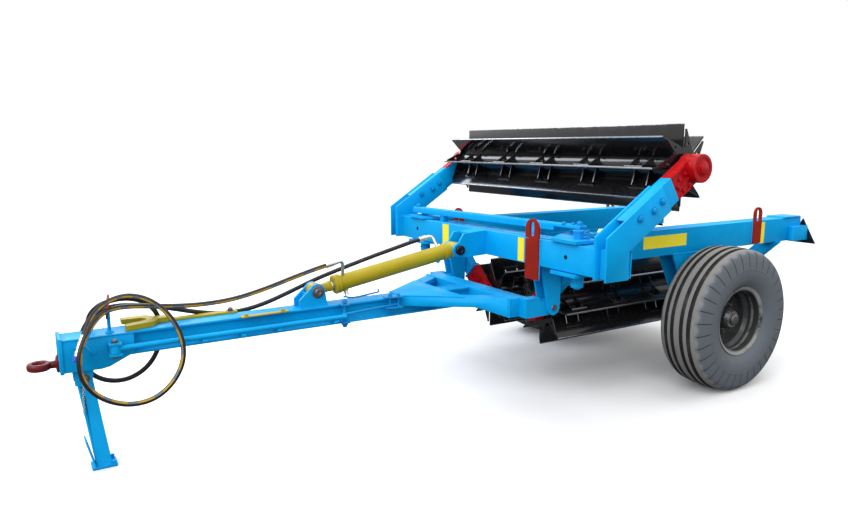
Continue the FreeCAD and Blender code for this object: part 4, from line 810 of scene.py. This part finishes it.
def centre_frame_details():
    bm = bmesh.new()
    # Dark discs: painted shade in the crossbeam's drain holes.
    for _, sign in SIDES:
        turned(bm, (CROSSBEAM_FRONT, sign * 0.762, 0.922), (1, 0, 0),
               [(0, 0), (0, 0.012), (0.0015, 0.012), (0.0015, 0.0085), (0.0003, 0.008), (0.0003, 0)], 24)
    piece("crossbeam_drain_hole_shade", bm, "centre_frame", HOLE_DARK)

    bm = bmesh.new()
    slab(bm, (CROSSBEAM_FRONT, 0.367, 0.85), (CROSSBEAM_FRONT + 0.0012, 0.42, 0.985))
    slab(bm, (CROSSBEAM_FRONT, -0.43, 0.852), (CROSSBEAM_FRONT + 0.0012, -0.357, 0.986))
    piece("crossbeam_blank_plates", bm, "centre_frame", PLATE_YELLOW)

    bm = bmesh.new()
    for x, y, size in ((-0.236, 0.676, 0.03), (-0.089, -0.79, 0.03), (-0.222, 0.64, 0.019),
                       (-0.205, 0.585, 0.019)):
        bolt(bm, (x, y, TIE_TOP), UP, size)
    turned(bm, (-0.236, 0.676, 1.0155), UP, [(0, 0), (0, 0.017), (0.0385, 0.017), (0.0385, 0)], 24)
    piece("transport_tie_nuts", bm, "centre_frame", BLUE_BOLT)

    bm = bmesh.new()
    for _, sign in SIDES:
        for y, way in ((0.534, 1), (0.424, -1)):
            turned(bm, (HINGE_PIN[0], sign * y, HINGE_PIN[1]), (0, sign * way, 0),
                   [(-0.001, 0), (-0.001, 0.0195), (0.001, 0.0195), (0.003, 0.017), (0.003, 0)], 32)
    piece("hinge_pin_ends", bm, "centre_frame", DARK_STEEL)

    bm = bmesh.new()
    for _, sign in SIDES:
        turned(bm, REAR_PIN + Vector((0, sign * 0.0622, 0)), (0, sign, 0),
               [(0, 0), (0, 0.03), (0.015, 0.03), (0.0175, 0.0275), (0.0175, 0.012), (0.0155, 0.01),
                (0.0155, 0)], 36)
    piece("rear_pin_caps", bm, "centre_frame", BLACK)

    bm = bmesh.new()
    for _, sign in SIDES:
        end = sign * 1.001
        for x in (CROSSBEAM_FRONT, CROSSBEAM_REAR):
            weld_bead(bm, (x, end, CROSSBEAM_LOW), (x, end, CROSSBEAM_TOP), 0.0055)
        weld_bead(bm, (CROSSBEAM_FRONT, end, CROSSBEAM_TOP), (CROSSBEAM_REAR, end, CROSSBEAM_TOP), 0.0055)
        for y in (0.5135, 0.5285, 0.4315, 0.4465):
            weld_bead(bm, (-0.098, sign * y, CROSSBEAM_LOW), (CROSSBEAM_REAR, sign * y, CROSSBEAM_LOW), 0.005)
        for y in (0.046, 0.0625):
            weld_bead(bm, (CROSSBEAM_FRONT, sign * y, 0.85), (CROSSBEAM_FRONT, sign * y, 0.99), 0.005)
    for y in (0.444, 0.556):
        weld_bead(bm, (CROSSBEAM_FRONT, y, 0.766), (CROSSBEAM_FRONT, y, 0.99), 0.005)
    weld_bead(bm, (-0.049, 0.446, CROSSBEAM_TOP - 0.002), (-0.058, 0.554, CROSSBEAM_TOP - 0.002), 0.004)
    piece("centre_frame_welds", bm, "centre_frame", BLUE, merge=False)


centre_frame_details()


# ---- wing trim ----------------------------------------------------------------------------

PIVOT_X, PIVOT_Y = -0.135, 0.775
PIVOT_DISC = [(0, 0), (0, 0.0235), (0.002, 0.0235), (0.0035, 0.021), (0.0035, 0.006), (0.002, 0.004), (0.002, 0)]
PIVOT_CAP = [(-0.002, 0), (-0.002, 0.029), (0.004, 0.029), (0.006, 0.02), (0.012, 0.018), (0.012, 0)]
PIVOT_BOSS = [(0, 0), (0, 0.027), (0.036, 0.027), (0.036, 0.03), (0.044, 0.03), (0.047, 0.027), (0.047, 0)]
REFLECTOR_BACK, REFLECTOR_Y, REFLECTOR_LOW, REFLECTOR_HALF = -2.4155, 0.66, 0.814, 0.1
SLOPE = 1.732  # of a side at 60 degrees


def wing_welds(bm, sign):
    for y in (0.655, 0.643, 0.535, 0.547):
        weld_bead(bm, (-1.612, sign * y, 0.839), (-1.048, sign * y, 0.839), 0.005)
    for x in (-1.911, -1.827):
        weld_bead(bm, (x, sign * 0.6555, 0.85), (x, sign * 0.6555, 0.998))
    for x in (-0.261, -0.314, -2.106, -2.159):
        weld_bead(bm, (x, sign * 0.538, 0.838), (x, sign * 0.64, 0.838))
    for y in (0.655, 0.535):
        for z in (0.9995, 0.8385):
            weld_bead(bm, (-0.398, sign * y, z), (-0.262, sign * y, z), 0.005)
    weld_bead(bm, (-0.4, sign * 0.537, 1.0), (-0.4, sign * 0.653, 1.0), 0.005)
    for x in (-2.37, -2.18):
        weld_bead(bm, (x, sign * 0.53, 1.0), (x, sign * 0.66, 1.0))


def wing_details(label, sign):
    body = label + "_wing"
    bm = bmesh.new()
    slab(bm, (-1.16, 0.655, 0.89), (-0.775, 0.6562, 0.965), sign)
    slab(bm, (-1.965, 0.655, 0.842), (-1.913, 0.6562, 0.986), sign)
    piece(label + "_wing_blank_plates", bm, body, PLATE_YELLOW)

    bm = bmesh.new()
    for x, y in ((-0.345, 0.625), (-0.345, 0.565), (-0.29, 0.625), (-0.29, 0.56)):
        bolt(bm, (x, sign * y, 1.015), UP, 0.024)
        bolt(bm, (x, sign * y, 0.823), DOWN, 0.024)
    for x in (-1.44, -1.22):
        for z in (0.8, 0.77):
            bolt(bm, (x, sign * 0.655, z), (0, sign, 0), 0.022)
    piece(label + "_wing_bolts", bm, body, BLUE_BOLT)

    bm = bmesh.new()
    turned(bm, (PIVOT_X, sign * PIVOT_Y, 1.0255), UP, PIVOT_DISC, 32)
    slab(bm, (-0.19, 0.742, 1.015), (-0.162, 0.808, 1.021), sign)
    for y in (0.752, 0.798):
        bolt(bm, (-0.176, sign * y, 1.021), UP, 0.013, tail=False)
    piece(label + "_pivot_lock", bm, body, BLUE_BOLT)

    bm = bmesh.new()
    at = Vector((PIVOT_X, sign * PIVOT_Y, 0.757))
    turned(bm, at, DOWN, PIVOT_CAP, 32)
    turned(bm, at + Vector((0.034, 0, 0.03)), (1, 0, 0),
           [(-0.003, 0), (-0.003, 0.005), (0.004, 0.005), (0.005, 0.003), (0.009, 0.0035), (0.011, 0.002),
            (0.011, 0)], 16)
    piece(label + "_pivot_grease_cap", bm, body, BLUE_BOLT)

    bm = bmesh.new()
    wing_welds(bm, sign)
    piece(label + "_wing_welds", bm, body, BLUE, merge=False)

    for inset, depth, look, kind in ((0.003, 0.0015, BORDER, "border"), (0.03, 0.0035, REFLECTOR, "lens")):
        bm = bmesh.new()
        half = REFLECTOR_HALF - inset * SLOPE
        low = REFLECTOR_LOW + inset
        outline = ((REFLECTOR_Y - half, low), (REFLECTOR_Y + half, low), (REFLECTOR_Y, low + half * SLOPE))
        extruded(bm, [(REFLECTOR_BACK, sign * y, z) for y, z in outline], (-depth, 0, 0))
        piece(label + "_reflector_" + kind, bm, body, look)


def pivot_boss():
    """The raised end of the left wing pin, beside the transport tie."""
    bm = bmesh.new()
    turned(bm, (PIVOT_X, PIVOT_Y, 1.015), UP, PIVOT_BOSS, 36)
    piece("left_pivot_boss", bm, "left_wing", BLUE_BOLT)


for label, sign in SIDES:
    wing_details(label, sign)
pivot_boss()


# ---- cylinder trim ------------------------------------------------------------------------

GLAND_AT, REAR_COLLAR_AT = 0.774, 0.066
GLAND = [(0.0, 0.044), (0.0, 0.0525), (0.003, 0.0535), (0.01, 0.0535), (0.013, 0.0505), (0.02, 0.0505),
         (0.023, 0.0535), (0.029, 0.0535), (0.0335, 0.05), (0.036, 0.044), (0.036, 0.03), (0.034, 0.026),
         (0.034, 0.0225), (0.03, 0.0225)]
PORTS = ((0.75, 0.0162, 0.0423), (0.1, -0.0255, 0.0375))  # along the barrel, aside and above


def cylinder_details():
    way = (FRONT_PIN - REAR_PIN).normalized()
    above = way.cross(Vector((0, -1, 0)))
    bm, nuts = bmesh.new(), bmesh.new()
    turned(bm, REAR_PIN + way * GLAND_AT, way, GLAND, 56, True)
    turned(bm, REAR_PIN + way * REAR_COLLAR_AT, way,
           [(-0.004, 0.044), (-0.004, 0.05), (0.004, 0.0505), (0.016, 0.049), (0.02, 0.044)], 56, True)
    for along, aside, rise in PORTS:
        port, lean = REAR_PIN + way * along, (above * rise + Vector((0, aside, 0))).normalized()
        turned(bm, port + lean * 0.04, lean,
               [(0, 0), (0, 0.0165), (0.009, 0.0165), (0.01, 0.014), (0.013, 0.013), (0.013, 0)], 28)
        drum_shape(nuts, port + lean * 0.053, lean, 0.0125, 0.014, 6)
        drum_shape(nuts, port + lean * 0.067, lean, 0.0112, 0.01, 20)
    piece("barrel_collars", bm, "cylinder_barrel", YELLOW)
    piece("port_nuts", nuts, "cylinder_barrel", ZINC)

    bm = bmesh.new()
    for aside in (-0.048, 0.042):
        weld_bead(bm, REAR_PIN + Vector((0.03, aside, 0.03)), REAR_PIN + Vector((0.03, aside, -0.036)), 0.004)
    piece("barrel_welds", bm, "cylinder_barrel", YELLOW, merge=False)

    bm = bmesh.new()
    turned(bm, FRONT_PIN - way * 0.093, way,
           [(-0.002, 0.02), (-0.002, 0.029), (0.006, 0.03), (0.012, 0.029), (0.014, 0.0265),
            (0.014, 0.02)], 40, True)
    turned(bm, FRONT_PIN + above * 0.041 - way * 0.006, above,
           [(-0.003, 0), (-0.003, 0.005), (0.003, 0.005), (0.004, 0.003), (0.008, 0.0035), (0.01, 0.002),
            (0.01, 0)], 16)
    piece("rod_eye_collar", bm, "cylinder_rod", YELLOW)

    bm = bmesh.new()
    for _, sign in SIDES:
        at, out = FRONT_PIN + Vector((0, sign * 0.0448, 0)), Vector((0, sign, 0))
        turned(bm, at, out, [(0, 0.02), (0, 0.034), (0.004, 0.0345), (0.005, 0.033), (0.005, 0.02)], 36, True)
        turned(bm, at + out * 0.0125, out, [(-0.001, 0), (-0.001, 0.0215), (0.005, 0.0215), (0.008, 0.0175),
                                            (0.008, 0.008), (0.006, 0.006), (0.006, 0)], 32)
    piece("front_pin_caps", bm, "drawbar", DARK_STEEL)


cylinder_details()


# ---- drawbar trim -------------------------------------------------------------------------

EYE, EYE_SHANK = Vector((2.375, 0, 0.53)), Vector((2.296, 0, 0.53))
EYE_RADIUS, EYE_HALF, EYE_TALL, EYE_SQUARENESS = 0.0375, 0.0125, 0.017, 0.75
DRAFT_HOOK = ((2.15, 0.074, 0.575), (2.165, 0.108, 0.578), (2.172, 0.126, 0.6), (2.188, 0.124, 0.622),
              (2.215, 0.1, 0.624), (2.23, 0.074, 0.612))


def eye_section(steps=20):
    """The eye's squarish round section, as (height, radius)."""
    for step in range(steps):
        turn = 2 * math.pi * step / steps
        s, c = math.sin(turn), math.cos(turn)
        yield (math.copysign(EYE_TALL * abs(s) ** EYE_SQUARENESS, s),
               EYE_RADIUS + math.copysign(EYE_HALF * abs(c) ** EYE_SQUARENESS, c))


def head_details():
    bm = bmesh.new()
    turned(bm, EYE_SHANK, (1, 0, 0),
           [(0, 0.012), (0, 0.04), (0.006, 0.041), (0.01, 0.036), (0.012, 0.026), (0.012, 0.012)], 36, True)
    piece("tow_eye_collar", bm, "drawbar", EYE_RED)

    bm = bmesh.new()
    turned(bm, EYE, UP, list(eye_section()), 56, True)
    turned(bm, EYE_SHANK, (1, 0, 0), [(0, 0), (0, 0.019), (0.036, 0.017), (0.044, 0.016), (0.05, 0)], 32)
    eye = piece("rounded_tow_eye", bm, "drawbar", EYE_RED)
    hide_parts("tow_eye")

    bm = bmesh.new()
    ring_shape(bm, (2.297, 0.021, 0.572), (1, 0.15, 0.2), 0.021, 0.0022, stretch=(0.8, 1.1))
    piece("head_wire_ring", bm, "drawbar", ZINC)

    for label, sign in SIDES:
        bm = bmesh.new()
        bolt(bm, (2.068, sign * 0.105, 0.62), UP, 0.022)
        bolt(bm, (2.068, sign * 0.105, 0.56), DOWN, 0.022)
        for x in (2.046, 2.09):
            slab(bm, (x - 0.003, 0.072, 0.57), (x + 0.003, 0.092, 0.61), sign)
        piece(label + "_draft_pin_nuts", bm, "drawbar", DARK_STEEL)
        wire_piece(label + "_draft_hook", mirrored(sign, *DRAFT_HOOK), 0.0052, "drawbar", BLUE)


STAND_PIN, STAND_LEAN = Vector((2.2, 0, 0.455)), math.radians(7)
CHAIN_TOP, CHAIN_LOW, CHAIN_LINKS = Vector((2.208, 0.056, 0.425)), Vector((2.216, 0.05, 0.292)), 14


def stand_details():
    bm = bmesh.new()
    for _, sign in SIDES:
        at, out = STAND_PIN + Vector((0, sign * 0.056, 0)), Vector((0, sign, 0))
        turned(bm, at - out * 0.0095, out, [(0, 0.012), (0, 0.022), (0.003, 0.022), (0.003, 0.012)], 28, True)
        turned(bm, at, out, [(-0.001, 0), (-0.001, 0.0135), (0.004, 0.0135), (0.006, 0.01), (0.006, 0)], 24)
    piece("stand_pin_ends", bm, "drawbar", DARK_STEEL)

    bm = bmesh.new()
    for step in range(CHAIN_LINKS):
        at = CHAIN_TOP.lerp(CHAIN_LOW, step / (CHAIN_LINKS - 1))
        ring_shape(bm, at, (1, 0.1, 0) if step % 2 else (0.1, 1, 0), 0.0042, 0.0012, 16, 6, (1.0, 1.6))
    piece("stand_pin_chain", bm, "drawbar", ZINC)

    bm = bmesh.new()
    foot_x = STAND_PIN.x - STAND_PIN.z * math.tan(STAND_LEAN)
    for y in (-0.034, 0.034):
        weld_bead(bm, (foot_x - 0.036, y, 0.0125), (foot_x + 0.034, y, 0.0125), 0.004)
    for y in (-0.044, 0.036):
        slab(bm, (foot_x - 0.05, y, 0.012), (foot_x - 0.032, y + 0.008, 0.03))
    piece("stand_foot_welds", bm, "parking_stand", BLUE, merge=False)


CLAMP_X, CLAMP_Y = 0.905, 0.076
UPPER_WIRE = [(0.905, 0.07, 0.69), (0.895, 0.06, 0.692), (0.85, 0.04, 0.672), (0.76, 0.005, 0.668),
              (0.68, -0.028, 0.668), (0.655, -0.034, 0.668), (0.64, -0.024, 0.672), (0.652, -0.012, 0.69)]
SIDE_WIRE = [(0.93, 0.092, 0.6), (0.9, 0.094, 0.6), (0.78, 0.088, 0.606), (0.66, 0.088, 0.612),
             (0.585, 0.088, 0.614)]
CLAMP_PLATE = ((0.56, 0.06), (0.66, 0.058), (0.66, 0.104), (0.635, 0.112), (0.575, 0.126), (0.56, 0.122))
FORK_JAWS = ((1.8, -0.09), (1.862, -0.094), (1.89, -0.142), (2.008, -0.142), (2.008, -0.094), (1.918, -0.088),
             (1.898, -0.054), (1.916, -0.026), (2.008, 0.004), (2.008, 0.052), (1.88, 0.02), (1.85, -0.032),
             (1.8, -0.036))


def clamp_details():
    """The clamps and wires on the left side of the beam."""
    bm = bmesh.new()
    drum_shape(bm, (CLAMP_X, CLAMP_Y, 0.53), UP, 0.0085, 0.142, 20)
    bolt(bm, (CLAMP_X, CLAMP_Y, 0.662), UP)
    bolt(bm, (CLAMP_X, CLAMP_Y, 0.54), DOWN)
    for y, z in ((0.055, 0.646), (0.042, 0.546)):
        slab(bm, (CLAMP_X - 0.025, y, z), (CLAMP_X + 0.025, 0.098, z + 0.008))
    for x, y in ((0.582, 0.1), (0.628, 0.086)):
        bolt(bm, (x, y, 0.666), UP, 0.019)
        bolt(bm, (x, y, 0.597), DOWN, 0.019)
        drum_shape(bm, (x, y, 0.6), UP, 0.006, 0.066, 16)
    for z in (0.598, 0.6585):
        extruded(bm, [(x, y, z) for x, y in CLAMP_PLATE], (0, 0, 0.007))
    piece("side_clamps", bm, "drawbar", BLUE_BOLT, edges=0.0008)
    wire_piece("upper_draft_wire", UPPER_WIRE, 0.005, "drawbar", BLUE_BOLT)
    wire_piece("side_draft_wire", SIDE_WIRE, 0.006, "drawbar", BLUE_BOLT)


def lock_details():
    """The strap, the jaws and the bolts of the transport lock on the beam."""
    bm = bmesh.new()
    slanted_slab(bm, (1.35, 0.069, 0.6535), (1, 0.04, 0), UP, (0.25, 0.034, 0.005))
    bolt(bm, (1.448, 0.072, 0.656), UP, 0.017)
    bolt(bm, (1.252, 0.066, 0.656), UP, 0.017)
    piece("lock_strap", bm, "drawbar", YELLOW, edges=0.0008)

    bm = bmesh.new()
    extruded(bm, [(x, y, 0.6505) for x, y in FORK_JAWS], (0, 0, 0.026))
    piece("lock_fork_jaws", bm, "drawbar", YELLOW, edges=0.003)

    bm = bmesh.new()
    bolt(bm, (1.49, -0.062, 0.662), UP)
    bolt(bm, (1.79, -0.062, 0.662), UP, 0.019)
    piece("lock_fork_bolts", bm, "drawbar", DARK_STEEL)


def hose_holders():
    bm = bmesh.new()
    ring_shape(bm, (2.078, 0.027, 0.774), (1, -0.1, 0.12), 0.052, 0.0052, 48, 8, (0.66, 1.04))
    piece("hose_tie", bm, "drawbar", TIE_RED)

    bm = bmesh.new()
    turned(bm, (2.078, 0.03, 0.65), UP, [(0, 0.0075), (0, 0.02), (0.004, 0.02), (0.008, 0.014), (0.012, 0.011),
                                          (0.012, 0.0075)], 28, True)
    ring_shape(bm, (2.078, 0.045, 0.74), (1, 0, 0), 0.016, 0.004)
    piece("hose_post_foot", bm, "drawbar", BLUE)


DRAWBAR_WELDS = (  # start, end and size, on the left side
    ((0.075, 0.06, 0.6505), (0.25, 0.06, 0.6505), 0.0046),
    ((0.255, 0.222, 0.6545), (0.548, 0.066, 0.6545), 0.0045),
    ((0.992, 0.0465, 0.651), (1.148, 0.0465, 0.651), 0.0045),
    ((1.982, 0.0725, 0.648), (2.278, 0.0725, 0.648), 0.004),
    ((2.152, 0.047, 0.5395), (2.246, 0.047, 0.5395), 0.004),
    ((-0.028, 0.4495, 0.545), (-0.028, 0.4495, 0.648), 0.0045),
    ((0.058, 0.4495, 0.545), (0.058, 0.4495, 0.648), 0.0045),
    ((0.061, 0.432, 0.651), (0.061, 0.345, 0.651), 0.0045))


def drawbar_welds():
    bm = bmesh.new()
    for _, sign in SIDES:
        for start, end, size in DRAWBAR_WELDS:
            weld_bead(bm, *mirrored(sign, start, end), size)
    weld_bead(bm, (0.249, -0.222, 0.6545), (0.249, 0.222, 0.6545))
    weld_bead(bm, (0.061, -0.058, 0.651), (0.061, 0.058, 0.651))
    piece("drawbar_welds", bm, "drawbar", BLUE, merge=False)


head_details()
stand_details()
clamp_details()
lock_details()
hose_holders()
drawbar_welds()


# ---- studio -------------------------------------------------------------------------------

def lamp(name, kind, aim, **settings):
    """A lamp that shines in a direction."""
    light = bpy.data.lights.new(name, kind)
    for key, setting in settings.items():
        setattr(light, key, setting)
    obj = new_object(name, light)
    obj.rotation_euler = Vector(aim).to_track_quat("-Z", "Y").to_euler()
    return obj


def soft_light(name, at, target, size, power, colour=(1, 1, 1)):
    obj = lamp(name, "AREA", Vector(target) - Vector(at), shape="DISK", size=size, energy=power, color=colour)
    obj.location = at


FLOOR_BOUNCE = (0.13, 0.135, 0.14)


def studio():
    bm = bmesh.new()
    bmesh.ops.create_grid(bm, x_segments=8, y_segments=8, size=60)
    mesh = bpy.data.meshes.new("floor")
    bm.to_mesh(mesh)
    bm.free()
    ground, skin, where = material("pale_floor", Roughness=0.9, Specular_IOR_Level=0.1)
    pale = where.speckle(3.0).blend((0.86, 0.865, 0.87), (0.9, 0.9, 0.9))
    feed(add(where.tree, "LightPath")["Is Camera Ray"].blend(FLOOR_BOUNCE, pale), skin["Base Color"])
    mesh.materials.append(ground)
    floor = new_object("floor", mesh)

    world = bpy.data.worlds.new("studio")
    world.use_nodes = True
    tree = world.node_tree
    lighting = tree.nodes["Background"]
    feed((1.0, 1.0, 1.0), lighting.inputs["Color"])
    feed(1.05, lighting.inputs["Strength"])
    backdrop = add(tree, "Background", Color=(1.0, 1.0, 1.0), Strength=1.0)[0]
    mixed = add(tree, "MixShader", _0=add(tree, "LightPath")["Is Camera Ray"], _1=Level(lighting.outputs[0]),
                _2=backdrop)[0]
    feed(mixed, tree.nodes["World Output"].inputs["Surface"])
    bpy.context.scene.world = world
    # The key is even light from far away, out of a wide patch of the ceiling.
    lamp("key", "SUN", (-1.4, -0.85, -1.2), energy=1.85, angle=math.radians(50))
    soft_light("top", (-1.5, 0.5, 6.5), (-0.6, 0, 0.6), 4.0, 75)
    soft_light("roller_sheen", (1.2, -3.9, 4.3), (-0.66, 0, 1.38), 3.4, 190, (0.86, 0.91, 1.0))
    bpy.context.scene.view_settings.view_transform = "Standard"


studio()
